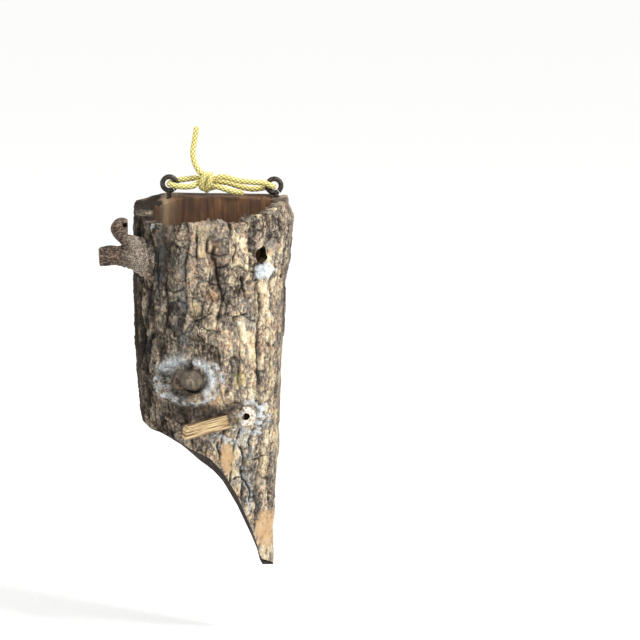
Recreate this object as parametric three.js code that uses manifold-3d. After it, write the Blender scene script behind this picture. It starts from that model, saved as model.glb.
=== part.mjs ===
// Bird tree log wall pocket: a hollow half log with its bark on, hung by a cord on two screw eyes.
// Millimetres. X right, Y towards the wall, Z up. The flat back lies in the plane Y = 0.
import * as THREE from "three";
import { mergeVertices } from "three/addons/utils/BufferGeometryUtils.js";
import Module from "manifold-3d";

// Trunk
const TRUNK_TOP = 15;
const TRUNK_HEIGHT = 264;
const TRUNK_WIDTH = 112;
const TRUNK_DEPTH = 62;
const SECTION_POWER = 2.35;
const RIM_DROP = 12.6;
const SIDE_WALL = 8;
const BACK_WALL = 12;
const POCKET_DEPTH = 134;
const POCKET_FLOOR_ROUND = 6;

// Bark: plates parted by fissures
const BARK_RELIEF = 3.4;
const PLATE_WIDTH = 13;
const PLATE_HEIGHT = 31;

// Knot scar on the front, as a place on the trunk and the sizes of its rings
const KNOT_X = -15.4;
const KNOT_DROP = 124;
const KNOT_COLLAR_WIDTH = 43;
const KNOT_COLLAR_HEIGHT = 32;
const KNOT_RING_RADIUS = 13;
const KNOT_DOME_RADIUS = 7.5;
const KNOT_RELIEF = 4;

// Forked branch on the left side: a stub cut square and a rounded twig
const BRANCH_DROP = 41;
const BRANCH_ANGLE = 146;
const BRANCH_BASE_RADIUS = 17;
const BRANCH_RADIUS = 6.5;
const BRANCH_REACH = 30;
const TWIG_RADIUS = 6.4;
const TWIG_RISE = 27;

// Cut stump with a hollow heart, beside the stick
const STUMP_X = 22.4;
const STUMP_DROP = 149.5;
const STUMP_RADIUS = 6.9;
const STUMP_LENGTH = 6;
const STUMP_ROOT = 7;
const STUMP_FLARE = 1.6;
const STUMP_HEART_RADIUS = 2.4;
const STUMP_HEART_DEPTH = 4;

// Peg hole through the right side of the wall, drilled slanting
const PEG_X = 34.3;
const PEG_DROP = 37.7;
const PEG_HOLE_RADIUS = 5.6;
const PEG_SLANT = 42;

// Perch stick, split along its length and glued into a socket
const STICK_X = 13.5;
const STICK_DROP = 152;
const STICK_RADIUS = 5.6;
const STICK_FLAT = 1.4;
const STICK_FLAT_TURN = 78;
const STICK_LENGTH = 37;
const STICK_SEAT = 8;
const STICK_AIM = new THREE.Vector3(-0.84, -0.45, -0.15).normalize();

// Screw eyes
const EYE_WIRE_RADIUS = 1.75;
const EYE_RING_RADIUS = 4.75;
const EYE_SHANK_RADIUS = 1.6;
const EYE_SHANK_LENGTH = 14;
const EYES = [
  { name: "eye_screw_left", x: -30.4, lift: 0.4, lean: -2 },
  { name: "eye_screw_right", x: 42.4, lift: 0, lean: 14 },
];

// Cord
const CORD_RADIUS = 2;
const CORD_SIDES = 8;
const CORD_KNOT = new THREE.Vector3(-4.9, -6.8, 23.4);
const CORD_KNOT_SIZE = new THREE.Vector3(5.6, 5.4, 7.4);

const CLEARANCE = 0.3;
const TRUNK_COLUMNS = 56;
const BACK_COLUMNS = 6;
const TRUNK_ROWS = 44;
const POCKET_COLUMNS = 22;
const POCKET_ROWS = 5;
const DEGREE = Math.PI / 180;

const wasm = await Module();
wasm.setup();

function bareCopy(geometry) {
  const bare = geometry.clone();
  bare.deleteAttribute("normal");
  bare.deleteAttribute("uv");
  return bare;
}

function solidFrom(geometry) {
  const merged = mergeVertices(bareCopy(geometry), 1e-4);
  return new wasm.Manifold(
    new wasm.Mesh({
      numProp: 3,
      vertProperties: new Float32Array(merged.attributes.position.array),
      triVerts: new Uint32Array(merged.index.array),
    }),
  );
}

function geometryFrom(solid) {
  const mesh = solid.getMesh();
  const geometry = new THREE.BufferGeometry();
  geometry.setAttribute("position", new THREE.BufferAttribute(mesh.vertProperties, 3));
  geometry.setIndex(new THREE.BufferAttribute(mesh.triVerts, 1));
  geometry.computeVertexNormals();
  return geometry;
}

// Smooth value at t from a short list of [t, value] stations.
function along(stations, t) {
  const last = stations.length - 1;
  if (t <= stations[0][0]) return stations[0][1];
  if (t >= stations[last][0]) return stations[last][1];
  const next = stations.findIndex((station) => station[0] > t);
  const [t0, a] = stations[next - 1];
  const [t1, b] = stations[next];
  const share = (t - t0) / (t1 - t0);
  return a + (b - a) * share * share * (3 - 2 * share);
}

function straightAlong(stations, t) {
  const last = stations.length - 1;
  if (t <= stations[0][0]) return stations[0][1];
  if (t >= stations[last][0]) return stations[last][1];
  const next = stations.findIndex((station) => station[0] > t);
  return THREE.MathUtils.mapLinear(
    t, stations[next - 1][0], stations[next][0], stations[next - 1][1], stations[next][1],
  );
}

// Repeatable number from 0 to 1 for a pair of whole numbers.
function chance(i, j) {
  const wave = Math.sin(i * 127.1 + j * 311.7) * 43758.5453;
  return wave - Math.floor(wave);
}

function ridge(distance, width) {
  return Math.exp(-((distance / width) ** 2));
}

// Outline of the uncut trunk: shares of the half width and of the depth, by share of the height.
const RIGHT_EDGE = [[0, 0.87], [0.06, 0.95], [0.16, 0.91], [0.24, 0.845], [0.61, 0.765], [1, 0.68]];
const LEFT_EDGE = [[0, 0.87], [0.05, 0.95], [0.3, 0.942], [0.45, 0.928], [0.61, 0.885], [1, 0.83]];
const DEPTH = [[0, 0.9], [0.1, 0.95], [0.5, 0.86], [0.8, 0.58], [1, 0.34]];
// How far the rim drops below the back's top edge, by angle from the right back corner.
const RIM = [
  [0, 0.25], [14, 0.2], [37, 0.5], [53, 0.75], [67, 1.1], [76, 1.25], [84, 1.08], [89, 1.05], [100, 1.1],
  [106, 1.2], [121, 1.4], [137, 1.35], [150, 1.1], [162, 0.85], [172, 0.55], [180, 0.45],
];
const BACK_TOP = [[0, 0.45], [0.06, 0.3], [0.12, 0.14], [0.2, 0], [0.5, 0.04], [0.92, 0.08], [1, 0.25]];

const downShare = (z) => (TRUNK_TOP - z) / TRUNK_HEIGHT;
const rightEdge = (z) => (TRUNK_WIDTH / 2) * along(RIGHT_EDGE, downShare(z));
const leftEdge = (z) => (-TRUNK_WIDTH / 2) * along(LEFT_EDGE, downShare(z));
const depthAt = (z) => TRUNK_DEPTH * along(DEPTH, downShare(z));
const middleAt = (z) => (rightEdge(z) + leftEdge(z)) / 2;

// Distance from the middle of a D-shaped section's flat side to its edge.
function sectionRadius(angle, half, deep) {
  const c = Math.abs(Math.cos(angle)) / half;
  const s = Math.abs(Math.sin(angle)) / deep;
  return (c ** SECTION_POWER + s ** SECTION_POWER) ** (-1 / SECTION_POWER);
}

function trunkRadius(angle, z) {
  return sectionRadius(angle, (rightEdge(z) - leftEdge(z)) / 2, depthAt(z));
}

// Rings of the healed knot: a raised collar, a hollow, a callus ring. The dome is added apart.
function knotRelief(x, z) {
  const dx = x - KNOT_X;
  const dz = z - (TRUNK_TOP - KNOT_DROP);
  const reach = Math.hypot(dx / (KNOT_COLLAR_WIDTH / 2), dz / (KNOT_COLLAR_HEIGHT / 2));
  const radius = Math.hypot(dx, dz);
  const collar = ridge(reach - 1, 0.2);
  const hollow = 0.5 * ridge(reach - 0.75, 0.13);
  const ring = 0.75 * ridge(radius - KNOT_RING_RADIUS, 2.6);
  const moat = 0.7 * ridge(radius - KNOT_DOME_RADIUS - 1.5, 2);
  return { height: KNOT_RELIEF * (collar - hollow + ring - moat), near: ridge(reach, 1.05) };
}

// Height of the bark over the trunk's base surface.
function barkRelief(angle, x, z) {
  const girth = (angle * TRUNK_WIDTH) / 2;
  const sway = 2.6 * Math.sin(z / 19 + girth / 31) + 1.4 * Math.sin(z / 8.3 + girth / 12);
  const column = (girth + sway) / PLATE_WIDTH;
  const inColumn = column - Math.floor(column);
  const shift = chance(Math.floor(column), 3);
  const row = z / PLATE_HEIGHT + shift + 0.12 * Math.sin(girth / 4);
  const inRow = row - Math.floor(row);
  const fissure = ridge(Math.min(inColumn, 1 - inColumn) * PLATE_WIDTH, 2.3);
  const crack = 0.7 * ridge(Math.min(inRow, 1 - inRow) * PLATE_HEIGHT, 2.9);
  const plate = 0.55 + 0.45 * chance(Math.floor(column), Math.floor(row));
  const flat = BARK_RELIEF * plate * (1 - Math.max(fissure, crack));
  const knot = knotRelief(x, z);
  return flat * (1 - 0.8 * knot.near) + knot.height;
}

function rimHeight(angle, back) {
  const drop = back === null ? along(RIM, angle / DEGREE) : along(BACK_TOP, back);
  const ragged = back === null ? 1.1 * Math.sin(angle * 23) * Math.sin(angle * 9 + 1) : 0;
  return TRUNK_TOP - RIM_DROP * drop + ragged;
}

function trunkPoint(angle, z) {
  const base = trunkRadius(angle, z);
  const x = middleAt(z) + base * Math.cos(angle);
  const radius = base + barkRelief(angle, x, z);
  return new THREE.Vector3(middleAt(z) + radius * Math.cos(angle), -radius * Math.sin(angle), z);
}

function trunkNormal(angle, z) {
  const step = 0.05;
  const mid = middleAt(z);
  const at = (a) => {
    const r = trunkRadius(a, z);
    return new THREE.Vector3(mid + r * Math.cos(a), -r * Math.sin(a), z);
  };
  const tangent = at(angle + step).sub(at(angle - step)).normalize();
  return new THREE.Vector3(-tangent.y, tangent.x, 0).normalize();
}

// A closed cylinder whose points are moved by place(turnShare, heightShare) and place for its caps.
function reshapedCylinder(columns, rows, place, topCentre, bottomCentre) {
  const geometry = new THREE.CylinderGeometry(1, 1, 1, columns, rows);
  const position = geometry.attributes.position;
  for (let i = 0; i < position.count; i += 1) {
    const x = position.getX(i);
    const z = position.getZ(i);
    const height = Math.round((position.getY(i) + 0.5) * rows) / rows;
    let point;
    if (Math.hypot(x, z) < 0.5) {
      point = height > 0.5 ? topCentre : bottomCentre;
    } else {
      const turn = (Math.atan2(x, z) / (2 * Math.PI) + 1) % 1;
      point = place((Math.round(turn * columns) % columns) / columns, height);
    }
    position.setXYZ(i, point.x, point.y, point.z);
  }
  return geometry;
}

// A limb along a curve, its radius given by share of the length and angle around it.
function limb(curve, radiusAt, columns, rows) {
  const frames = curve.computeFrenetFrames(rows, false);
  const place = (turn, height) => {
    const row = Math.round(height * rows);
    const angle = turn * 2 * Math.PI;
    const radius = radiusAt(height, angle);
    return curve
      .getPointAt(height)
      .addScaledVector(frames.normals[row], radius * Math.cos(angle))
      .addScaledVector(frames.binormals[row], radius * Math.sin(angle));
  };
  return solidFacingOut(
    reshapedCylinder(columns, rows, place, curve.getPointAt(1), curve.getPointAt(0)),
  );
}

function solidFacingOut(geometry) {
  const solid = solidFrom(geometry);
  if (solid.volume() > 0) return solid;
  const index = geometry.index.array;
  for (let i = 0; i < index.length; i += 3) {
    [index[i + 1], index[i + 2]] = [index[i + 2], index[i + 1]];
  }
  return solidFrom(geometry);
}

// The columns of a D-shaped ring: first round the front by angle, then back along the flat side.
function columnPlace(turn, frontColumns, backColumns) {
  const column = Math.round(turn * (frontColumns + backColumns));
  if (column <= frontColumns) return { angle: (column / frontColumns) * Math.PI, back: null };
  return { angle: 0, back: (column - frontColumns) / backColumns };
}

function trunkBody() {
  const foot = TRUNK_TOP - TRUNK_HEIGHT - CLEARANCE;
  const place = (turn, height) => {
    const { angle, back } = columnPlace(turn, TRUNK_COLUMNS, BACK_COLUMNS);
    const z = foot + (rimHeight(angle, back) - foot) * height;
    if (back === null) return trunkPoint(angle, z);
    const left = trunkPoint(Math.PI, z);
    return left.lerp(trunkPoint(0, z), back).setY(0);
  };
  const top = new THREE.Vector3(0, -TRUNK_DEPTH / 2, TRUNK_TOP - RIM_DROP * 0.45);
  const bottom = new THREE.Vector3(0, -depthAt(foot) / 2, foot);
  const columns = TRUNK_COLUMNS + BACK_COLUMNS;
  return solidFacingOut(reshapedCylinder(columns, TRUNK_ROWS, place, top, bottom));
}

// The pocket leaves a wall under the bark and a thicker flat back.
function pocket() {
  const floor = TRUNK_TOP - POCKET_DEPTH;
  const place = (turn, height) => {
    const { angle, back } = columnPlace(turn, POCKET_COLUMNS, 1);
    const z = floor + (POCKET_DEPTH + TRUNK_TOP) * height;
    const level = Math.min(z, TRUNK_TOP);
    const draw = SIDE_WALL + (height === 0 ? POCKET_FLOOR_ROUND : 0);
    const half = (rightEdge(level) - leftEdge(level)) / 2 - draw;
    const radius = sectionRadius(angle, half, depthAt(level) - draw - BACK_WALL);
    if (back !== null) return new THREE.Vector3(middleAt(level) + half * (2 * back - 1), -BACK_WALL, z);
    const x = middleAt(level) + radius * Math.cos(angle);
    return new THREE.Vector3(x, -BACK_WALL - radius * Math.sin(angle), z);
  };
  const centre = (z) => new THREE.Vector3(0, -TRUNK_DEPTH / 2, z);
  const body = reshapedCylinder(
    POCKET_COLUMNS + 1, POCKET_ROWS, place, centre(2 * TRUNK_TOP), centre(floor),
  );
  return solidFacingOut(body);
}

// Slanting lower cut: its edge along the back, and how fast it rises towards the front.
const CUT_EDGE = [
  [-1, 0.565], [-0.975, 0.577], [-0.93, 0.612], [-0.79, 0.633], [-0.67, 0.643], [-0.54, 0.659],
  [-0.42, 0.675],
  [-0.16, 0.722], [-0.02, 0.745], [0.1, 0.773], [0.17, 0.798], [0.285, 0.84], [0.36, 0.875],
  [0.46, 0.921], [0.53, 0.958], [0.565, 0.988], [0.6, 1],
];
const CUT_BEVEL = [[-0.9, 0.2], [-0.4, 0.23], [0, 0.36], [0.3, 0.42], [0.6, 0.45]];

function lowerCut() {
  const columns = 40;
  const reach = TRUNK_WIDTH * 0.7;
  const below = TRUNK_TOP - TRUNK_HEIGHT * 1.1;
  const geometry = new THREE.BoxGeometry(1, 1, 1, columns, 1, 1);
  const position = geometry.attributes.position;
  for (let i = 0; i < position.count; i += 1) {
    const x = 2 * reach * position.getX(i);
    const y = position.getY(i) > 0 ? 5 : -TRUNK_DEPTH * 1.3;
    const share = x / (TRUNK_WIDTH / 2);
    const edge = TRUNK_TOP - TRUNK_HEIGHT * straightAlong(CUT_EDGE, share);
    const z = position.getZ(i) > 0 ? edge - y * along(CUT_BEVEL, share) : below;
    position.setXYZ(i, x, y, z);
  }
  return solidFrom(geometry);
}

// The angle at which the trunk's surface reaches a given x.
function angleAtX(x, z) {
  let low = 0;
  let high = Math.PI;
  for (let i = 0; i < 30; i += 1) {
    const angle = (low + high) / 2;
    if (middleAt(z) + trunkRadius(angle, z) * Math.cos(angle) > x) low = angle;
    else high = angle;
  }
  return low;
}

function frontPoint(x, z) {
  return trunkPoint(angleAtX(x, z), z);
}

// A straight round bar from one point to another.
function bar(from, to, radiusFrom, radiusTo, sides) {
  const geometry = new THREE.CylinderGeometry(radiusTo, radiusFrom, from.distanceTo(to), sides);
  const turn = new THREE.Quaternion().setFromUnitVectors(
    new THREE.Vector3(0, 1, 0), to.clone().sub(from).normalize(),
  );
  geometry.applyQuaternion(turn);
  geometry.translate((from.x + to.x) / 2, (from.y + to.y) / 2, (from.z + to.z) / 2);
  return solidFrom(geometry);
}

function knotDome() {
  const place = frontPoint(KNOT_X, TRUNK_TOP - KNOT_DROP);
  const geometry = new THREE.SphereGeometry(1, 14, 10);
  geometry.scale(KNOT_DOME_RADIUS, KNOT_RELIEF + 2, KNOT_DOME_RADIUS);
  geometry.translate(place.x, place.y, place.z);
  return solidFrom(geometry);
}

// The branch leaves the trunk at a flared base, runs left and ends in a square cut.
function branchFoot() {
  const z = TRUNK_TOP - BRANCH_DROP;
  const angle = BRANCH_ANGLE * DEGREE;
  return { foot: trunkPoint(angle, z), out: trunkNormal(angle, z) };
}

function branchStub() {
  const { foot, out } = branchFoot();
  const curve = new THREE.CatmullRomCurve3([
    foot.clone().addScaledVector(out, -6),
    foot.clone().addScaledVector(out, 5),
    foot.clone().add(new THREE.Vector3(-BRANCH_REACH * 0.4, -5, 0.4)),
    foot.clone().add(new THREE.Vector3(-BRANCH_REACH * 0.7, -5, 0.9)),
    foot.clone().add(new THREE.Vector3(-BRANCH_REACH, -5, 0.5)),
  ]);
  const flare = (t) => BRANCH_RADIUS + (BRANCH_BASE_RADIUS - BRANCH_RADIUS) * ridge(t, 0.3);
  const lumps = (t, angle) => 0.5 * Math.sin(3 * angle + 9 * t) + 0.35 * Math.sin(7 * angle - 14 * t);
  return limb(curve, (t, angle) => flare(t) + lumps(t, angle), 18, 12);
}

function branchTwig() {
  const { foot } = branchFoot();
  const curve = new THREE.CatmullRomCurve3([
    foot.clone().add(new THREE.Vector3(0, -4, 0)),
    foot.clone().add(new THREE.Vector3(-7, -5, TWIG_RISE * 0.3)),
    foot.clone().add(new THREE.Vector3(-13, -5, TWIG_RISE * 0.6)),
    foot.clone().add(new THREE.Vector3(-16.4, -4.8, TWIG_RISE)),
  ]);
  const round = (t) => Math.sqrt(Math.max(0.12, 1 - (Math.max(0, t - 0.76) / 0.26) ** 2));
  const thick = (t) => TWIG_RADIUS + 1.6 * ridge(t, 0.3) - ridge(t - 0.5, 0.12) + 1.2 * ridge(t - 0.82, 0.16);
  const radius = (t, angle) => thick(t) * round(t) + 0.4 * Math.sin(4 * angle + 6 * t);
  return limb(curve, radius, 14, 9);
}

function stump() {
  const face = frontPoint(STUMP_X, TRUNK_TOP - STUMP_DROP);
  const aim = new THREE.Vector3(0.05, -1, -0.02).normalize();
  const front = face.clone().addScaledVector(aim, STUMP_LENGTH);
  const root = face.clone().addScaledVector(aim, -STUMP_ROOT);
  const body = bar(root, front, STUMP_RADIUS + STUMP_FLARE, STUMP_RADIUS, 18);
  const heart = bar(
    front.clone().addScaledVector(aim, -STUMP_HEART_DEPTH), front.clone().addScaledVector(aim, 2),
    STUMP_HEART_RADIUS, STUMP_HEART_RADIUS, 10,
  );
  return { body, heart };
}

function pegHole() {
  const mouth = frontPoint(PEG_X, TRUNK_TOP - PEG_DROP);
  const aim = new THREE.Vector3(Math.sin(PEG_SLANT * DEGREE), -Math.cos(PEG_SLANT * DEGREE), 0);
  const reach = SIDE_WALL + BARK_RELIEF + 2 * PEG_HOLE_RADIUS;
  return bar(
    mouth.clone().addScaledVector(aim, -reach), mouth.clone().addScaledVector(aim, reach),
    PEG_HOLE_RADIUS, PEG_HOLE_RADIUS, 20,
  );
}

function stickMouth() {
  return frontPoint(STICK_X, TRUNK_TOP - STICK_DROP);
}

function stickSocket() {
  const radius = STICK_RADIUS + CLEARANCE;
  const mouth = stickMouth();
  return bar(
    mouth.clone().addScaledVector(STICK_AIM, -STICK_SEAT - CLEARANCE),
    mouth.clone().addScaledVector(STICK_AIM, 4 * STICK_RADIUS), radius, radius, 20,
  );
}

// The stick is round behind and split flat in front.
function perchStick() {
  const mouth = stickMouth();
  const seat = mouth.clone().addScaledVector(STICK_AIM, -STICK_SEAT);
  const end = mouth.clone().addScaledVector(STICK_AIM, STICK_LENGTH);
  const stick = bar(seat, end, STICK_RADIUS, STICK_RADIUS, 20);
  const split = new THREE.BoxGeometry(STICK_LENGTH + STICK_SEAT + 2, 4 * STICK_RADIUS, 2 * STICK_RADIUS);
  split.translate(0, 0, -STICK_RADIUS - STICK_FLAT);
  split.rotateX(-STICK_FLAT_TURN * DEGREE);
  split.applyQuaternion(
    new THREE.Quaternion().setFromUnitVectors(new THREE.Vector3(-1, 0, 0), STICK_AIM),
  );
  const middle = seat.lerp(end, 0.5);
  split.translate(middle.x, middle.y, middle.z);
  return stick.subtract(solidFrom(split));
}

// A screw eye stands on the back's top edge, leaning a little in the plane of its ring.
function eyeParts({ x, lift, lean }) {
  const left = leftEdge(TRUNK_TOP);
  const share = (x - left) / (rightEdge(TRUNK_TOP) - left);
  const seat = rimHeight(0, share);
  const y = -BACK_WALL / 2 - 0.5;
  const centre = new THREE.Vector3(x, y, seat + lift + EYE_RING_RADIUS + EYE_WIRE_RADIUS);
  const down = new THREE.Vector3(Math.sin(lean * DEGREE), 0, -Math.cos(lean * DEGREE));
  const neck = centre.clone().addScaledVector(down, EYE_RING_RADIUS);
  const tip = neck.clone().addScaledVector(down, EYE_SHANK_LENGTH);
  const ring = new THREE.TorusGeometry(EYE_RING_RADIUS, EYE_WIRE_RADIUS, 8, 20);
  ring.rotateX(Math.PI / 2);
  ring.translate(centre.x, centre.y, centre.z);
  const shank = bar(neck, tip, EYE_SHANK_RADIUS, EYE_SHANK_RADIUS * 0.6, 12);
  const pilotRadius = EYE_SHANK_RADIUS + CLEARANCE;
  const bottom = tip.clone().addScaledVector(down, CLEARANCE);
  return { eye: solidFrom(ring).add(shank), pilot: bar(neck, bottom, pilotRadius, pilotRadius, 12) };
}

// Cord stretches, as chosen points from end to end. The knot hides where each one starts.
const LEFT_LOOP = [
  [-7, -9, 23], [-11, -10.5, 21.8], [-20.3, -11, 20], [-26.4, -11, 20.8], [-29.6, -9.8, 21.4],
  [-30.4, -6.5, 21.6], [-29.4, -3.4, 22.4], [-26.5, -2.3, 23.4], [-18, -2.3, 24.6],
  [-10.5, -2.6, 25.6], [-7, -4.5, 25.5],
];
const RIGHT_LOOP = [
  [-2, -9, 26.5], [3, -10.5, 27.2], [9, -11, 26.6], [18.2, -11, 24.2], [28, -11, 23.2],
  [35.7, -11, 22.6], [40.2, -10.3, 20.6], [42.1, -6.5, 19.6], [40.6, -3.2, 19.1],
  [36.5, -2.3, 18.6], [27.3, -2.3, 17.6], [18, -2.3, 19.4], [9.8, -2.3, 22], [2.5, -2.6, 22.6],
  [-2, -4.5, 23],
];
const TAIL_UP = [
  [-5.5, -7, 27], [-9.1, -7, 30.8], [-13, -6, 36.6], [-14, -4.5, 43.5], [-13, -3, 50.5],
  [-11.2, -2.6, 61.5],
];
const TAIL_DOWN = [
  [-3, -10, 22.5], [0.5, -12.6, 21.2], [7.7, -14.2, 19], [14.7, -14.5, 16.9], [21.7, -14.5, 15.9],
];

function cordKnot(margin) {
  const geometry = new THREE.SphereGeometry(1, 12, 8);
  geometry.scale(CORD_KNOT_SIZE.x + margin, CORD_KNOT_SIZE.y + margin, CORD_KNOT_SIZE.z + margin);
  geometry.translate(CORD_KNOT.x, CORD_KNOT.y, CORD_KNOT.z);
  return solidFrom(geometry);
}

function cordStretch(points, steps) {
  const section = new THREE.Shape();
  for (let i = 0; i < CORD_SIDES; i += 1) {
    const angle = (i / CORD_SIDES) * 2 * Math.PI;
    const corner = [CORD_RADIUS * Math.cos(angle), CORD_RADIUS * Math.sin(angle)];
    if (i === 0) section.moveTo(...corner);
    else section.lineTo(...corner);
  }
  section.closePath();
  const path = new THREE.CatmullRomCurve3(points.map((point) => new THREE.Vector3(...point)));
  const tube = new THREE.ExtrudeGeometry(section, { steps, bevelEnabled: false, extrudePath: path });
  return solidFacingOut(mergeVertices(bareCopy(tube), 1e-4)).subtract(cordKnot(CLEARANCE));
}

const MATERIALS = {
  bark: new THREE.MeshStandardMaterial({ color: 0x8b7258, roughness: 0.9, metalness: 0 }),
  stick: new THREE.MeshStandardMaterial({ color: 0xc9a468, roughness: 0.75, metalness: 0 }),
  iron: new THREE.MeshStandardMaterial({ color: 0x3b3835, roughness: 0.5, metalness: 0.8 }),
  cord: new THREE.MeshStandardMaterial({ color: 0xe3d56c, roughness: 0.6, metalness: 0 }),
};

const group = new THREE.Group();

function addPiece(name, solid, material) {
  const mesh = new THREE.Mesh(geometryFrom(solid), material);
  mesh.name = name;
  group.add(mesh);
}

const stumpParts = stump();
const eyes = EYES.map(eyeParts);
const joined = trunkBody().add(knotDome()).add(branchStub()).add(branchTwig()).add(stumpParts.body);
const holes = [pocket(), lowerCut(), pegHole(), stickSocket(), stumpParts.heart];
const log = [...holes, ...eyes.map((parts) => parts.pilot)].reduce(
  (body, hole) => body.subtract(hole), joined,
);

addPiece("log", log, MATERIALS.bark);
addPiece("perch_stick", perchStick(), MATERIALS.stick);
EYES.forEach((eye, i) => addPiece(eye.name, eyes[i].eye, MATERIALS.iron));
addPiece("cord_left_loop", cordStretch(LEFT_LOOP, 18), MATERIALS.cord);
addPiece("cord_right_loop", cordStretch(RIGHT_LOOP, 24), MATERIALS.cord);
addPiece("cord_knot", cordKnot(0), MATERIALS.cord);
addPiece("cord_tail_up", cordStretch(TAIL_UP, 8), MATERIALS.cord);
addPiece("cord_tail_down", cordStretch(TAIL_DOWN, 6), MATERIALS.cord);

export default group;
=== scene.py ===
import bpy
import math
import numpy as np
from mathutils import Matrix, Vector


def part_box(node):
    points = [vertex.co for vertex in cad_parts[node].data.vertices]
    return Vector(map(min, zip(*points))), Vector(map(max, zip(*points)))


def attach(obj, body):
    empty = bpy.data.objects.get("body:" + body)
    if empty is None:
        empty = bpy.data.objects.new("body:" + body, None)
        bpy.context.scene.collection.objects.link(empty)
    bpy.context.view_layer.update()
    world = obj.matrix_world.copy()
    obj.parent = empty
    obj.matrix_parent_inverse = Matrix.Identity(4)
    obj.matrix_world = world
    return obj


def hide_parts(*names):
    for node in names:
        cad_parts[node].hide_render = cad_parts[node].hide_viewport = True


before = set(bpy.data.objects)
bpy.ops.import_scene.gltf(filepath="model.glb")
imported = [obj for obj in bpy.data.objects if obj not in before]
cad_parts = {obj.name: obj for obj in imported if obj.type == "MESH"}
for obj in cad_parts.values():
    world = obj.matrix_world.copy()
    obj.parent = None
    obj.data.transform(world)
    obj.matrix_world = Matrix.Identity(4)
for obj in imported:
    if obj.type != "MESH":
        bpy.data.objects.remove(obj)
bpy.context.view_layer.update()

mm = 0.001


# helpers

def linear(hexColour):
    # sRGB hex to the linear values Blender works in
    parts = [int(hexColour[i:i + 2], 16) / 255 for i in (1, 3, 5)]
    return tuple(c / 12.92 if c <= 0.04045 else ((c + 0.055) / 1.055) ** 2.4 for c in parts) + (1,)


def addNode(tree, kind, links=None, output=0, stops=None, **settings):
    # one node, named without its "ShaderNode", giving back one of its outputs; links maps an input's
    # name or number to a socket or a plain value, and stops fill a colour ramp
    node = tree.nodes.new("ShaderNode" + kind)
    for name, value in settings.items():
        setattr(node, name, value)
    for key, value in (links or {}).items():
        if isinstance(value, bpy.types.NodeSocket):
            tree.links.new(value, node.inputs[key])
        else:
            node.inputs[key].default_value = value
    for i, (place, colour) in enumerate(stops or []):
        bar = node.color_ramp.elements
        element = bar[i] if i < len(bar) else bar.new(1.0)
        element.position = place
        element.color = linear(colour) if isinstance(colour, str) else (colour, colour, colour, 1)
    return node.outputs[output] if len(node.outputs) else None


def deselectAll():
    bpy.ops.object.select_all(action='DESELECT')


def activate(obj):
    deselectAll()
    obj.select_set(True)
    bpy.context.view_layer.objects.active = obj


def editAll(obj, step):
    # one edit-mode step on the whole mesh
    activate(obj)
    bpy.ops.object.mode_set(mode='EDIT')
    bpy.ops.mesh.select_all(action='SELECT')
    step()
    bpy.ops.object.mode_set(mode='OBJECT')


def readEach(items, name, width=1, kind=float):
    # one property of every item, as rows of `width` numbers
    values = np.empty(len(items) * width, kind)
    items.foreach_get(name, values)
    return values.reshape(-1, width) if width > 1 else values


def readPoints(obj):
    return readEach(obj.data.vertices, "co", 3)


def writePoints(obj, points):
    obj.data.vertices.foreach_set("co", points.astype(np.float32).ravel())
    obj.data.update()


def unit(vector):
    return np.asarray(vector, float) / np.linalg.norm(vector)


def smoothStep(low, high, value):
    t = np.clip((value - low) / (high - low), 0, 1)
    return t * t * (3 - 2 * t)


def ridge(distance, width):
    return np.exp(-((distance / width) ** 2))


def hashed(i, j, seed):
    # repeatable number from 0 to 1 for whole numbers
    wave = np.sin(i * 127.1 + j * 311.7 + seed * 74.7) * 43758.5453
    return wave - np.floor(wave)


def valueNoise(u, v, seed):
    i, j = np.floor(u), np.floor(v)
    fu, fv = u - i, v - j
    fu, fv = fu * fu * (3 - 2 * fu), fv * fv * (3 - 2 * fv)
    low = hashed(i, j, seed) * (1 - fu) + hashed(i + 1, j, seed) * fu
    high = hashed(i, j + 1, seed) * (1 - fu) + hashed(i + 1, j + 1, seed) * fu
    return low * (1 - fv) + high * fv


def noise(u, v, seed, layers=4):
    total, weight, size = 0, 1, 0
    for layer in range(layers):
        total = total + weight * valueNoise(u * 2 ** layer, v * 2 ** layer, seed + layer)
        size += weight
        weight *= 0.5
    return total / size


def ringNoise(angle, size, shift, lift, seed, layers=4):
    # noise from -0.5 to 0.5 round a circle, with no seam where the angle starts again
    return noise(np.cos(angle) * size + shift, np.sin(angle) * size + lift, seed, layers) - 0.5


def cells(u, v, seed):
    # distance to the nearest and second nearest scattered point, and the nearest one's number
    i0, j0 = np.floor(u), np.floor(v)
    first = np.full(u.shape, 9.0)
    second = np.full(u.shape, 9.0)
    number = np.zeros(u.shape)
    for di in (-1, 0, 1):
        for dj in (-1, 0, 1):
            i, j = i0 + di, j0 + dj
            x = i + 0.15 + 0.7 * hashed(i, j, seed)
            y = j + 0.15 + 0.7 * hashed(i, j, seed + 5)
            d = np.hypot(u - x, v - y)
            nearer = d < first
            second = np.where(nearer, first, np.minimum(second, d))
            number = np.where(nearer, hashed(i, j, seed + 9), number)
            first = np.where(nearer, d, first)
    return first, second, number


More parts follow.
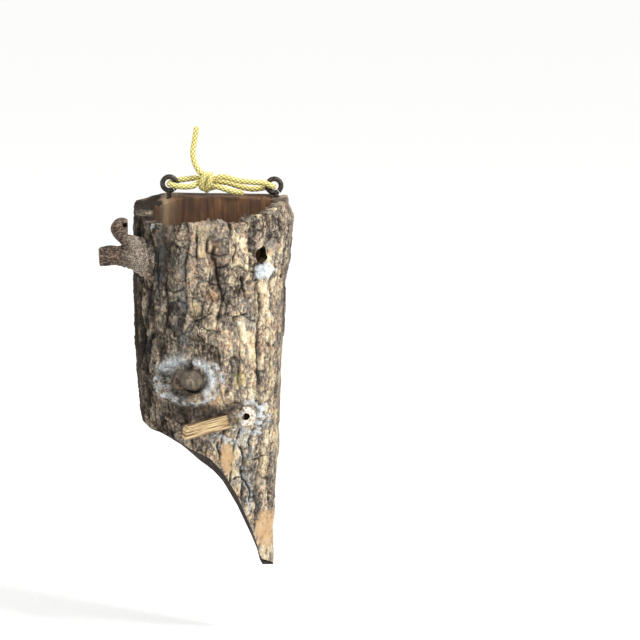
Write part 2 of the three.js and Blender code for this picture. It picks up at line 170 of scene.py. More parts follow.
def rolledGrid(name, columns, rows):
    # a grid rolled up into a closed cylinder; gives each point's column and row, and the end centres
    deselectAll()
    bpy.ops.mesh.primitive_grid_add(x_subdivisions=columns, y_subdivisions=rows + 2, size=2)
    obj = bpy.context.object
    obj.name = name
    flat = readPoints(obj)
    turn = (flat[:, 0] + 1) * math.pi
    step = (flat[:, 1] + 1) / 2 * (rows + 2) - 1
    size = np.where((step < -0.5) | (step > rows + 0.5), 0, 1)
    high = np.clip(step / rows, 0, 1)
    writePoints(obj, np.stack([size * np.cos(turn), size * np.sin(turn), high], axis=1))
    editAll(obj, lambda: bpy.ops.mesh.remove_doubles(threshold=1e-5))
    faceOut(obj)
    flat = readPoints(obj)
    turn = np.mod(np.arctan2(flat[:, 1], flat[:, 0]) / (2 * math.pi), 1)
    column = np.rint(turn * columns).astype(int) % columns
    row = np.rint(flat[:, 2] * rows).astype(int)
    return obj, column, row, np.hypot(flat[:, 0], flat[:, 1]) < 0.5


def faceOut(obj):
    editAll(obj, lambda: bpy.ops.mesh.normals_make_consistent(inside=False))


def keepLayer(obj, name, values):
    layer = obj.data.attributes.new(name, 'FLOAT', 'POINT')
    layer.data.foreach_set("value", np.asarray(values, np.float32))


def carriedFrame(path):
    # directions across a path that don't twist along it
    tangent = np.gradient(path, axis=0)
    tangent /= np.linalg.norm(tangent, axis=1)[:, None]
    side = np.zeros_like(tangent)
    side[0] = unit(np.cross(tangent[0], (0.3, 0.2, 0.9)))
    for i in range(1, len(path)):
        side[i] = unit(side[i - 1] - tangent[i] * np.dot(side[i - 1], tangent[i]))
    return side, np.cross(tangent, side)


def smoothPath(points, step):
    # Catmull-Rom curve through the points, resampled at an even step
    p = np.array([points[0]] + list(points) + [points[-1]], float)
    curve = []
    for i in range(1, len(p) - 2):
        for t in np.linspace(0, 1, 24, endpoint=False):
            curve.append(0.5 * (2 * p[i] + (p[i + 1] - p[i - 1]) * t
                                + (2 * p[i - 1] - 5 * p[i] + 4 * p[i + 1] - p[i + 2]) * t ** 2
                                + (3 * p[i] - p[i - 1] - 3 * p[i + 1] + p[i + 2]) * t ** 3))
    curve = np.array(curve + [p[-2]])
    run = np.concatenate([[0], np.cumsum(np.linalg.norm(np.diff(curve, axis=0), axis=1))])
    even = np.linspace(0, run[-1], int(run[-1] / step) + 1)
    return np.stack([np.interp(even, run, curve[:, k]) for k in range(3)], axis=1), run[-1]


def sweptTube(name, path, radiusAt, sides):
    # a closed round bar that follows the path, in millimetres; radiusAt(share, angle) gives its relief
    rows = len(path) - 1
    tube, column, row, centre = rolledGrid(name, sides, rows)
    angle = column / sides * 2 * math.pi
    side, other = carriedFrame(path)
    radius = np.where(centre, 0, radiusAt(row / rows, angle))[:, None]
    across = np.cos(angle)[:, None] * side[row] + np.sin(angle)[:, None] * other[row]
    writePoints(tube, (path[row] + radius * across) * mm)
    keepLayer(tube, "along", row / rows)
    keepLayer(tube, "around", angle / (2 * math.pi))
    faceOut(tube)
    return tube


def straightPath(start, end, step):
    count = max(2, int(np.linalg.norm(np.subtract(end, start)) / step) + 1)
    return np.linspace(start, end, count)


# camera

view = dict(target=(74.2 * mm, 0, -74.8 * mm), distance=2.5, elevation=8, lens=200.9)


def makeCamera():
    tilt = math.radians(view["elevation"])
    target = Vector(view["target"])
    bpy.ops.object.camera_add(
        location=target + view["distance"] * Vector((0, -math.cos(tilt), math.sin(tilt))),
        rotation=(math.pi / 2 - tilt, 0, 0))
    camera = bpy.context.object
    camera.data.lens = view["lens"]
    camera.data.clip_end = 20
    bpy.context.scene.camera = camera


makeCamera()
print("camera ready")


# materials

maskNames = ("fissure", "tone", "glueAndHighlight", "bare", "brown", "lichen", "grey", "orange", "blue", "paintedLight")


def newMaterial(name):
    material = bpy.data.materials.new(name)
    material.use_nodes = True
    tree = material.node_tree
    tree.nodes.clear()
    shader = tree.nodes.new("ShaderNodeBsdfPrincipled")
    addNode(tree, "OutputMaterial", {"Surface": shader.outputs["BSDF"]})
    return material, tree, shader, addNode(tree, "TexCoord", output="Object")


def grainNoise(tree, place, across, stretch, detail=6, rough=0.6):
    # noise whose grain is `across` millimetres wide and `stretch` times as long up the log
    where = addNode(tree, "Mapping", {"Vector": place, "Scale": (1, 1, 1 / stretch)})
    return addNode(tree, "TexNoise", {"Vector": where, "Scale": 1 / (across * mm), "Detail": detail,
                                      "Roughness": rough})


def finishMaterial(tree, shader, colour, roughness, height, strength, depth, under=None):
    # colour, roughness and a bump `depth` millimetres deep, on top of a coarser bump if there is one
    tree.links.new(colour, shader.inputs["Base Color"])
    shader.inputs["Roughness"].default_value = roughness
    links = {"Height": height, "Strength": strength, "Distance": depth * mm}
    if under is not None:
        links["Normal"] = under
    tree.links.new(addNode(tree, "Bump", links), shader.inputs["Normal"])


def weatheredBark():
    # hardwood bark, dry and unsealed: matt plates, near-black fissures, white glue bloom
    material, tree, shader, place = newMaterial("weathered_bark")
    mask = {name: addNode(tree, "Attribute", output="Fac", attribute_name=name) for name in maskNames}
    fibre = grainNoise(tree, place, 2.1, 1.6, 8, 0.74)
    blotch = grainNoise(tree, place, 9, 1.6, 5, 0.6)
    speck = grainNoise(tree, place, 1.2, 1.2, 5, 0.8)
    blend = addNode(tree, "Mix", {0: 0.55, 2: mask["tone"], 3: fibre})
    # painted shade and painted light: a dark copy of the bark's colours for the side away from the lamp
    # and a pale copy for the lit side, mixed by the painted-light mask
    shaded = addNode(tree, "ValToRGB", {0: blend}, stops=[
        (0.38, "#17130f"), (0.45, "#3b332b"), (0.51, "#61574b"), (0.57, "#8b8071"), (0.65, "#bcb1a0")])
    paintedLit = addNode(tree, "ValToRGB", {0: blend}, stops=[
        (0.38, "#54493d"), (0.45, "#9a8f82"), (0.51, "#c3b8a8"), (0.57, "#ddd3c2"), (0.66, "#f0e7d7")])
    colour = addNode(tree, "Mix", {0: mask["paintedLight"], 6: shaded, 7: paintedLit}, 2, data_type='RGBA')
    # chips 3 mm wide, each a little bluer, pinker or paler than the next
    bend = addNode(tree, "TexNoise", {"Vector": place, "Scale": 1 / (3 * mm), "Detail": 3.0}, "Color")
    bent = addNode(tree, "VectorMath", {0: bend, 3: 3 * mm}, operation='SCALE')
    moved = addNode(tree, "VectorMath", {0: bent, 1: place}, operation='ADD')
    flat = addNode(tree, "Mapping", {"Vector": moved, "Scale": (1, 1, 0.55)})
    chips = addNode(tree, "TexVoronoi", {"Vector": flat, "Scale": 1 / (3 * mm)}).node
    hue = addNode(tree, "ValToRGB", {0: chips.outputs["Color"]}, stops=[
        (0.1, "#7c8a92"), (0.35, "#a9aaaa"), (0.5, "#bda999"), (0.68, "#b2b0aa"), (0.9, "#dcd9ce")])
    # flecks 1 mm across, dark and pale
    fleck = addNode(tree, "ValToRGB", {0: speck}, stops=[
        (0.4, "#343436"), (0.48, "#787674"), (0.54, "#96928e"), (0.62, "#e8e2d8")])
    for share, over in ((0.62, hue), (0.7, fleck)):
        colour = addNode(tree, "Mix", {0: share, 6: colour, 7: over}, 2, data_type='RGBA',
                         blend_type='OVERLAY')
    # each layer: mask, colour, how strongly, and the noise that breaks it up with its limits
    layers = [("orange", "#d0a074", 0.75, speck, 0.36, 0.56), ("blue", "#7f8688", 0.55, blotch, 0.42, 0.6),
              # the brown layer is worn brown, with painted shade down the sides and the stick's painted
              # shadow
              ("grey", "#554d44", 0.95, blotch, 0.1, 0.5), ("brown", "#2a1e15", 0.85, blotch, 0.15, 0.5),
              ("lichen", "#b3a04e", 0.75, speck, 0.4, 0.6), ("bare", "#cca679", 0.92, fibre, 0.3, 0.5),
              # the fissure layer is the bark's dark in its cracks with painted shade there, and the knot's
              # painted shadow
              ("fissure", "#150f0b", 0.95, speck, -0.4, 0.1), ("glueAndHighlight", "#dde6ea", 0.97, speck, 0.34, 0.52)]
    for name, hexColour, strength, breaker, low, high in layers:
        broken = addNode(tree, "MapRange", {0: breaker, 1: low, 2: high, 4: strength})
        amount = addNode(tree, "Math", {0: broken, 1: mask[name]}, operation='MULTIPLY', use_clamp=True)
        colour = addNode(tree, "Mix", {0: amount, 6: colour, 7: linear(hexColour)}, 2, data_type='RGBA')
    shader.inputs["Specular IOR Level"].default_value = 0.3
    coarse = addNode(tree, "Bump", {"Height": fibre, "Strength": 0.9, "Distance": 1.3 * mm})
    chipped = addNode(tree, "Bump", {"Height": chips.outputs["Distance"], "Strength": 0.6,
                                     "Distance": 0.9 * mm, "Normal": coarse})
    finishMaterial(tree, shader, colour, 0.86, speck, 0.7, 0.6, chipped)
    # glue, and the painted highlight on the knot, shines a little more than bark
    roughness = addNode(tree, "MapRange", {0: mask["glueAndHighlight"], 3: 0.86, 4: 0.5})
    tree.links.new(roughness, shader.inputs["Roughness"])
    return material


def carvedWood():
    # hollowed heartwood, brown and oiled by handling, with grain that runs up the log
    material, tree, shader, place = newMaterial("carved_heartwood")
    grain = grainNoise(tree, place, 2.2, 9, 7, 0.6)
    streak = grainNoise(tree, place, 14, 2.5, 3, 0.5)
    blend = addNode(tree, "Mix", {0: 0.5, 2: grain, 3: streak})
    wood = addNode(tree, "ValToRGB", {0: blend}, stops=[
        (0.3, "#24140a"), (0.43, "#402715"), (0.53, "#5b3c22"), (0.62, "#765330"), (0.75, "#967044")])
    # a pale strip near the left end of the back: painted light, where light falls on the inner wall
    sideways = addNode(tree, "SeparateXYZ", {0: place})
    reach = addNode(tree, "MapRange", {0: sideways, 1: -44 * mm, 2: -22 * mm})
    litStrip = addNode(tree, "ValToRGB", {0: reach}, stops=[
        (0.0, 0.0), (0.35, 0.25), (0.5, 0.8), (0.6, 0.35), (1.0, 0.0)])
    amount = addNode(tree, "Math", {0: litStrip, 1: streak}, operation='MULTIPLY')
    colour = addNode(tree, "Mix", {0: amount, 6: wood, 7: linear("#b8a585")}, 2, data_type='RGBA')
    finishMaterial(tree, shader, colour, 0.62, grain, 0.5, 0.7)
    return material


def stainedWood():
    # end grain under dark stain, burnished by the gouge so that its high spots shine grey
    material, tree, shader, place = newMaterial("dark_stained_cut")
    patch = grainNoise(tree, place, 6, 1.0, 6, 0.6)
    pore = grainNoise(tree, place, 0.9, 1.0, 3, 0.6)
    colour = addNode(tree, "ValToRGB", {0: patch}, stops=[
        (0.38, "#0c0806"), (0.46, "#19120d"), (0.54, "#281e16"), (0.64, "#483a2e")])
    shader.inputs["Specular IOR Level"].default_value = 0.06
    finishMaterial(tree, shader, colour, 0.8, pore, 0.4, 0.4)
    return material


def sawnWood():
    # the flat back, band-sawn and aged: faint level saw marks over upright grain
    material, tree, shader, place = newMaterial("sawn_back_wood")
    grain = grainNoise(tree, place, 3, 18, 7, 0.6)
    marks = grainNoise(tree, place, 30, 0.05, 4, 0.6)
    blend = addNode(tree, "Mix", {0: 0.14, 2: grain, 3: marks})
    colour = addNode(tree, "ValToRGB", {0: blend}, stops=[
        (0.36, "#38271a"), (0.45, "#553e2a"), (0.54, "#6f543a"), (0.66, "#8d6f50")])
    finishMaterial(tree, shader, colour, 0.75, blend, 0.6, 0.6)
    return material


def limbBark():
    # young bark on the limbs: dark and tight, the dark partly its own stain and partly painted shade from
    # the trunk; rubbed pale and grey where it flares into the log
    material, tree, shader, place = newMaterial("limb_bark")
    fibre = grainNoise(tree, place, 2.2, 0.5, 7, 0.65)
    # dark ramp: the limbs' own stain with painted shade from the trunk
    dark = addNode(tree, "ValToRGB", {0: fibre}, stops=[
        (0.4, "#150e09"), (0.46, "#291d15"), (0.52, "#46352a"), (0.6, "#7d6957")])
    sideways = addNode(tree, "SeparateXYZ", {0: place})
    nearLog = addNode(tree, "MapRange", {0: sideways, 1: -62 * mm, 2: -52 * mm})
    broken = addNode(tree, "MapRange", {0: fibre, 1: 0.4, 2: 0.53, 3: 0.45, 4: 0.95})
    amount = addNode(tree, "Math", {0: nearLog, 1: broken}, operation='MULTIPLY')
    streaks = grainNoise(tree, place, 1.1, 0.35, 5, 0.6)
    rubbed = addNode(tree, "ValToRGB", {0: streaks}, stops=[
        (0.4, "#3a2f26"), (0.47, "#71655a"), (0.53, "#97897a"), (0.62, "#cabda9")])
    colour = addNode(tree, "Mix", {0: amount, 6: dark, 7: rubbed}, 2, data_type='RGBA')
    finishMaterial(tree, shader, colour, 0.78, fibre, 0.6, 0.5)
    return material


def cutEndWood():
    # sawn ends: chalky and pale on the stump, brown and weathered on the branch
    material, tree, shader, place = newMaterial("sawn_end_grain")
    fine = grainNoise(tree, place, 1.4, 1.0, 5, 0.65)
    pale = addNode(tree, "ValToRGB", {0: fine}, stops=[
        (0.38, "#7d6a55"), (0.46, "#b9a993"), (0.54, "#dcd2c4"), (0.64, "#efebe4")])
    brown = addNode(tree, "ValToRGB", {0: fine}, stops=[
        (0.38, "#2c1f15"), (0.47, "#5c4736"), (0.54, "#7d6752"), (0.64, "#a8937b")])
    sideways = addNode(tree, "SeparateXYZ", {0: place})
    onStump = addNode(tree, "MapRange", {0: sideways, 1: -40 * mm, 2: -30 * mm})
    colour = addNode(tree, "Mix", {0: onStump, 6: brown, 7: pale}, 2, data_type='RGBA')
    finishMaterial(tree, shader, colour, 0.8, fine, 0.6, 0.5)
    return material


def stickWood():
    # a split sapling: straw-coloured satin wood with fine straight grain, bark left on its round side
    material, tree, shader, place = newMaterial("split_sapling")
    split, along, across = [addNode(tree, "Attribute", output="Fac", attribute_name=name)
                            for name in ("split", "along", "across")]
    flat = addNode(tree, "CombineXYZ", {0: along, 1: across})
    squeezed = addNode(tree, "Mapping", {"Vector": flat, "Scale": (0.055, 1.5, 1)})
    grain = addNode(tree, "TexNoise", {"Vector": squeezed, "Scale": 1.0, "Detail": 6, "Roughness": 0.65})
    straw = addNode(tree, "ValToRGB", {0: grain}, stops=[
        (0.41, "#3d2812"), (0.46, "#86683f"), (0.51, "#b2966b"), (0.58, "#cdb98f")])
    rough = grainNoise(tree, place, 2.4, 1.0, 6, 0.65)
    # the bark is painted dark: brown bark, with painted shade on the round upper side
    bark = addNode(tree, "ValToRGB", {0: rough}, stops=[
        (0.32, "#261a11"), (0.5, "#47341f"), (0.64, "#6e5435"), (0.8, "#8f7450")])
    colour = addNode(tree, "Mix", {0: split, 6: bark, 7: straw}, 2, data_type='RGBA')
    finishMaterial(tree, shader, colour, 0.6, grain, 0.5, 0.5)
    return material


def darkIron():
    # drawn iron wire, gone dark with age and lightly pitted
    material, tree, shader, place = newMaterial("aged_iron_wire")
    pits = grainNoise(tree, place, 1.6, 1.0, 5, 0.6)
    colour = addNode(tree, "ValToRGB", {0: pits}, stops=[
        (0.35, "#2a2523"), (0.5, "#423c38"), (0.65, "#5c5550"), (0.8, "#6b4a36")])
    shader.inputs["Metallic"].default_value = 0.8
    finishMaterial(tree, shader, colour, 0.46, pits, 0.5, 0.3)
    return material


def braidedCord():
    # glossy braided rayon gift cord, gold-yellow, with a painted highlight on each strand's crest and
    # painted shade in the gaps between strands
    material, tree, shader, place = newMaterial("braided_rayon")
    strands = addNode(tree, "Attribute", output="Fac", attribute_name="strand")
    soil = grainNoise(tree, place, 12, 1.0, 3, 0.5)
    # painted highlight and painted shade: the braid's crests pale, its gaps dark
    gold = addNode(tree, "ValToRGB", {0: strands}, stops=[
        (0.0, "#57481a"), (0.38, "#a2903c"), (0.68, "#e2d67c"), (1.0, "#fbf7c4")])
    dulled = addNode(tree, "MapRange", {0: soil, 1: 0.45, 2: 0.7, 4: 0.3})
    colour = addNode(tree, "Mix", {0: dulled, 6: gold, 7: linear("#a98f3c")}, 2, data_type='RGBA')
    tree.links.new(colour, shader.inputs["Base Color"])
    shader.inputs["Roughness"].default_value = 0.42
    shader.inputs["Sheen Weight"].default_value = 0.3
    return material


woods = {"bark": weatheredBark(), "insideWood": carvedWood(), "stainedCut": stainedWood(),
         "sawnBack": sawnWood(), "branchBark": limbBark(), "endGrain": cutEndWood()}
iron = darkIron()
rayon = braidedCord()
print("materials ready")


# hanging cord: one braided cord, tied to itself with a square knot in front of its rear strand

cordSizes = dict(diameter=4.0, braidPitch=6.5, strands=10, sides=36, knot=(-4.9, -6.8, 23.4),
                 knotLean=math.radians(-18))

# the route in millimetres, from the end that lies on the rim to the end that stands up
tailDown = [(21.7, -14.5, 15.9), (14.7, -14.5, 16.9), (7.7, -14.2, 19.0), (2.4, -13.0, 20.4)]
rightFront = [(4.0, -9.6, 26.6), (9, -10.6, 26.6), (18.2, -11, 24.2), (28, -11, 23.2), (35.7, -11, 22.6),
              (40.2, -10.3, 20.6), (42.1, -6.5, 19.6), (40.6, -3.2, 19.1)]
rearStrand = [(36.5, -2.3, 18.6), (27.3, -2.3, 17.6), (18, -2.3, 19.4), (9.8, -2.3, 22), (2.5, -2.4, 22.8),
              (-4.9, -2.4, 24.2), (-10.5, -2.4, 25.4), (-18, -2.3, 24.6), (-26.5, -2.3, 23.4),
              (-29.4, -3.4, 22.4)]
leftFront = [(-30.4, -6.5, 21.6), (-29.6, -9.8, 21.4), (-26.4, -11, 20.8), (-20.3, -11, 20),
             (-13.5, -10.2, 20.6)]
tailUp = [(-9.6, -8.0, 30.6), (-12.9, -6.4, 36.6), (-14, -4.6, 43.5), (-13, -3, 50.5), (-11.2, -2.6, 61.5)]
# the two bights of the knot, as offsets from its middle before it is leaned over
rightBight = [(4.6, -1.2, -3.2), (0.6, -2.6, -4.8), (-1.9, -4.4, -4.4), (-2.4, -5.4, 0), (-1.9, -4.6, 4.5),
              (0.4, -2.8, 4.8), (4.4, -1.6, 3.0)]
leftBight = [(-4.6, -0.6, -2.0), (-0.4, 0.6, -1.8), (2.2, -1.6, -5.6), (2.4, -5.2, -2.4), (2.3, -5.2, 2.4),
             (1.6, -1.4, 5.8), (-0.6, 0.8, 2.6), (-4.4, -0.8, 4.4)]


def knotPlace(offset):
    c, s = math.cos(cordSizes["knotLean"]), math.sin(cordSizes["knotLean"])
    x, y, z = offset
    kx, ky, kz = cordSizes["knot"]
    return (kx + x * c - z * s, ky + y, kz + z * c + x * s)


def makeCord():
    s = cordSizes
    right = [knotPlace(p) for p in rightBight]
    left = [knotPlace(p) for p in leftBight]
    points = tailDown + right + rightFront + rearStrand + leftFront + left + tailUp
    path, length = smoothPath(points, 0.42)
    turns = length / s["braidPitch"]

    def grain(share, angle):
        # crossing strands stand up as small grains
        run = share * turns * 2 * math.pi
        lay = s["strands"] / 2
        return np.sqrt(np.abs(np.sin((lay * angle + run * 2) / 2) * np.sin((lay * angle - run * 2) / 2)))

    def braid(share, angle):
        # the ends are melted to a round nib
        end = np.minimum(share, 1 - share) * length
        nib = np.sqrt(np.clip(end / 1.2, 0.04, 1))
        return (s["diameter"] / 2 - 0.3 + 0.38 * grain(share, angle)) * nib

    cord = sweptTube("hanging_cord", path, braid, s["sides"])
    share, turn = [readEach(cord.data.attributes[name].data, "value") for name in ("along", "around")]
    # the grains are kept to paint highlight on the crests and shade in the gaps
    keepLayer(cord, "strand", grain(share, turn * 2 * math.pi))
    cord.data.materials.append(rayon)
    activate(cord)
    bpy.ops.object.shade_smooth()
    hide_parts("cord_left_loop", "cord_right_loop", "cord_knot", "cord_tail_up", "cord_tail_down")
    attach(cord, "root")
    print("cord length", round(length, 1), "mm")


makeCord()


# log: the trunk's form follows the solid, in millimetres; the bark is cut finer

log = dict(top=15, height=264, width=112, depth=62, power=2.35, rimDrop=12.6, sideWall=8, backWall=12,
           pocketDepth=134, floorRound=6, bark=3.4, plateWidth=13, plateHeight=31, seat=0.3,
           frontColumns=288, backColumns=30, rows=272, rimRows=8,
           rimReach=0.42, rimWorn=1.4, rimBroken=3.2, leftExtra=3, topMiddle=1.5, topReach=38)
rightEdge = [(0, 0.87), (0.06, 0.95), (0.16, 0.91), (0.24, 0.845), (0.61, 0.765), (1, 0.68)]
leftEdge = [(0, 0.87), (0.05, 0.95), (0.3, 0.942), (0.45, 0.928), (0.61, 0.885), (1, 0.83)]
depthShare = [(0, 0.9), (0.1, 0.95), (0.5, 0.86), (0.8, 0.58), (1, 0.34)]
rimShare = [(0, 0.25), (14, 0.2), (37, 0.5), (53, 0.75), (67, 1.1), (76, 1.25), (84, 1.08), (89, 1.05),
            (100, 1.1), (106, 1.2), (121, 1.4), (137, 1.35), (150, 1.1), (162, 0.85), (172, 0.55),
            (180, 0.45)]
backTop = [(0, 0.45), (0.06, 0.3), (0.12, 0.14), (0.2, 0), (0.5, 0.04), (0.92, 0.08), (1, 0.25)]
cutEdge = [(-1, 0.565), (-0.94, 0.573), (-0.91, 0.588), (-0.88, 0.613), (-0.79, 0.633), (-0.67, 0.643),
           (-0.54, 0.659), (-0.42, 0.675), (-0.16, 0.722), (-0.02, 0.745), (0.1, 0.773), (0.17, 0.798),
           (0.285, 0.84), (0.36, 0.875), (0.46, 0.921), (0.53, 0.958), (0.565, 0.988), (0.6, 1)]
cutBevel = [(-0.9, 0.2), (-0.4, 0.23), (0, 0.36), (0.3, 0.42), (0.6, 0.45)]
knot = dict(x=-15.4, z=-109, collarWidth=43, collarHeight=32, ring=13, dome=7.5, domeHeight=6.5, relief=4,
            domeX=1.6, domeZ=0.2, crescent=13.5)

# the face's own deep seams: width and (x, z) points, in millimetres
seams = [(0.9, [(-9.9, -5.4), (-9.3, -16.5), (-9.9, -27.6)]),
         (1.3, [(0.7, -12.4), (0.7, -22.1), (3.5, -31), (6.2, -47), (10, -61.6)]),
         (0.7, [(2.8, -30.4), (8, -30), (13.1, -27.6)]), (0.7, [(-15, -67.8), (-6, -66), (2.8, -60.2)]),
         (0.7, [(13.1, -66), (25.1, -63)]), (0.8, [(19.2, -33.8), (19.9, -44.9), (22.9, -53.9)]),
         (0.9, [(29.5, -38.7), (31.4, -50.5), (30.5, -76.8), (30.9, -102.5), (31.6, -123)]),
         (0.7, [(15.8, -12.4), (14.7, -28.3)]),
         (1.5, [(-41.8, -34.5), (-42.5, -56.6), (-45.2, -84.4), (-43.2, -116.2), (-41.1, -139.8)]),
         (1.5, [(18.2, -152.3), (20.2, -164.7), (19.2, -180), (24.2, -190.4), (24.4, -207.4)]),
         (1.1, [(4.4, -151), (3.4, -160), (4.1, -169)]), (0.5, [(24, -169), (33, -166), (40.5, -166.5)]),
         (0.6, [(12.2, -182.8), (15, -180.4), (20.2, -180)]),
         (0.9, [(-35.6, -18.6), (-36.4, -32), (-35, -45.6)])]


def along(stations, t):
    at = np.array([s[0] for s in stations], float)
    value = np.array([s[1] for s in stations], float)
    i = np.clip(np.searchsorted(at, t, side='right') - 1, 0, len(at) - 2)
    share = np.clip((t - at[i]) / (at[i + 1] - at[i]), 0, 1)
    return value[i] + (value[i + 1] - value[i]) * share * share * (3 - 2 * share)


def straightAlong(stations, t):
    return np.interp(t, [s[0] for s in stations], [s[1] for s in stations])


def down(z):
    return (log["top"] - z) / log["height"]


def rightAt(z):
    return log["width"] / 2 * along(rightEdge, down(z))


def leftAt(z):
    return -log["width"] / 2 * along(leftEdge, down(z))


def depthAt(z):
    return log["depth"] * along(depthShare, down(z))


def middleAt(z):
    return (rightAt(z) + leftAt(z)) / 2


def sectionRadius(angle, half, deep):
    c, s = np.abs(np.cos(angle)) / half, np.abs(np.sin(angle)) / deep
    return (c ** log["power"] + s ** log["power"]) ** (-1 / log["power"])


def trunkRadius(angle, z):
    return sectionRadius(angle, (rightAt(z) - leftAt(z)) / 2, depthAt(z))


def spot(x, z, cx, cz, rx, rz, soft=0.25, wobble=0.0):
    # 1 inside an oval on the front, falling to 0 at its edge; wobble makes the edge uneven
    far = np.hypot((x - cx) / rx, (z - cz) / rz)
    if wobble:
        far = far + wobble * (noise(x / 3.1, z / 3.1, 301) - 0.5)
    return 1 - smoothStep(1 - soft, 1 + soft, far)


# painted patches: how strongly, then the middle, half width and height, softness and wobble of each
paintedSpots = dict(
    bare=[(1, 8.9, -165, 4.6, 11.5, 0.14, 0.9), (1, 34, -220, 6, 14, 0.3, 0.9)],
    lichen=[(1, 18.5, -108, 3.4, 7, 0.5, 1.1), (0.55, -10, -60, 3.5, 6, 0.5, 1.0)],
    orange=[(0.8, 1.5, -50, 4.5, 4, 0.9, 1.2), (0.4, 4, -22, 6, 8, 0.9, 1.2)],
    blue=[(1, 23, -68, 5, 16, 0.6, 1.2), (1, 20, -168, 6, 24, 0.6, 1.2), (0.7, -19, -62, 5, 40, 0.6, 1.4),
          (0.6, 10, -25, 5, 22, 0.6, 1.4), (0.7, -36, -20, 4, 26, 0.5, 1.2),
          (0.5, 21, -113, 7, 12, 0.6, 1.2)])


def painted(name, x, z):
    return np.maximum.reduce([share * spot(x, z, *place) for share, *place in paintedSpots[name]])


def knotField(x, z):
    k = knot
    dx, dz = x - k["x"], z - k["z"]
    turn = np.degrees(np.arctan2(dz, dx))
    wander = 1.6 * ringNoise(np.radians(turn), 2, 7, 7, 81)
    reach = np.hypot(dx / (k["collarWidth"] / 2), dz / (k["collarHeight"] / 2)) + 0.1 * wander
    radius = np.hypot(dx, dz) + wander
    fromDome = np.hypot(dx - k["domeX"], 1.08 * (dz - k["domeZ"])) + 0.5 * wander
    upperLeft = smoothStep(88, 100, turn) * smoothStep(176, 150, turn)
    rightSide = smoothStep(96, 66, turn) * smoothStep(-62, -34, turn)
    below = smoothStep(-30, -48, turn) + smoothStep(172, 179, turn)
    collar = ridge(reach - 0.96, 0.17) * (0.45 + 0.75 * upperLeft + 0.4 * below)
    hollow = 0.75 * ridge(reach - 0.66, 0.17) * (1 - 0.8 * rightSide)
    crescent = 1.0 * ridge(fromDome - k["crescent"], 3.0) * rightSide
    moat = 0.7 * ridge(fromDome - k["dome"] - 1.9, 1.7)
    moat = moat * (0.35 + 0.65 * (smoothStep(35, -10, turn) + below))
    notch = 0.9 * ridge(dx - 1.8 - 0.15 * (dz - 13), 1.1) * ridge(dz - 12.5, 5)
    dome = k["domeHeight"] * np.sqrt(np.clip(1 - (fromDome / (k["dome"] + 0.9)) ** 2, 0, 1))
    rings = 0.25 * np.sin(reach * 34 + 3 * wander) * ridge(reach - 0.8, 0.5)
    rays = 1.1 * (noise(turn / 7, radius / 5, 84, 3) - 0.5) * ridge(reach - 0.72, 0.35)
    height = k["relief"] * (collar - hollow + crescent - moat - notch) + dome + rings + rays
    fleck = smoothStep(0.4, 0.6, noise(x / 1.7, z / 1.7, 95, 3))
    # pale blue-white on the knot: flecks of glue bloom round the collar and a pale crescent right of the
    # dome; on the upper-left inner slope of the collar it is a painted highlight
    glueAndHighlight = np.maximum.reduce([upperLeft * ridge(reach - 0.87, 0.2) * (0.5 + 0.5 * fleck),
                              rightSide * (0.45 + 0.55 * fleck)
                              * ridge(fromDome - k["crescent"] - 0.3, 3.0),
                              below * ridge(reach - 1.0, 0.05) * fleck,
                              0.8 * ridge(reach - 1.05, 0.07) * fleck * smoothStep(60, 20, turn),
                              0.4 * ridge(reach - 0.84, 0.14) * fleck * smoothStep(0, -6, dx)])
    # painted shadow round the right and lower side of the dome; with the notch's crack and painted shade
    # in the hollow it goes into the dark mask
    shadow = ridge(fromDome - k["dome"] - 2.4, 1.2) * smoothStep(20, -20, turn)
    dark = np.maximum.reduce([shadow * (turn < 90) * (turn > -120), notch, 0.1 * hollow * (1 - upperLeft)])
    return dict(height=height, near=ridge(reach, 1.0), reach=reach, glueAndHighlight=glueAndHighlight, dark=dark, dome=fromDome)


def seamField(x, z):
    # how deep each point lies in one of the listed seams, from 0 to 1
    x = x + 3.0 * (noise(x / 5, z / 6, 141, 3) - 0.5)
    z = z + 2.5 * (noise(x / 5, z / 6, 145, 3) - 0.5)
    uneven = 0.45 + 1.0 * noise(x / 3, z / 7, 149, 2)
    deepest = np.zeros(np.shape(x))
    for width, points in seams:
        nearest = np.full(np.shape(x), 99.0)
        ends = np.zeros(np.shape(x))
        for i, ((ax, az), (bx, bz)) in enumerate(zip(points, points[1:])):
            dx, dz = bx - ax, bz - az
            share = np.clip(((x - ax) * dx + (z - az) * dz) / (dx ** 2 + dz ** 2), 0, 1)
            gap = np.hypot(x - ax - share * dx, z - az - share * dz)
            run = (i + share) / (len(points) - 1)
            ends = np.where(gap < nearest, smoothStep(0, 0.2, run) * smoothStep(1, 0.8, run), ends)
            nearest = np.minimum(nearest, gap)
        spread = width * uneven * (0.25 + 0.75 * ends)
        deepest = np.maximum(deepest, ridge(nearest, spread) * (0.4 + 0.6 * ends))
    return deepest


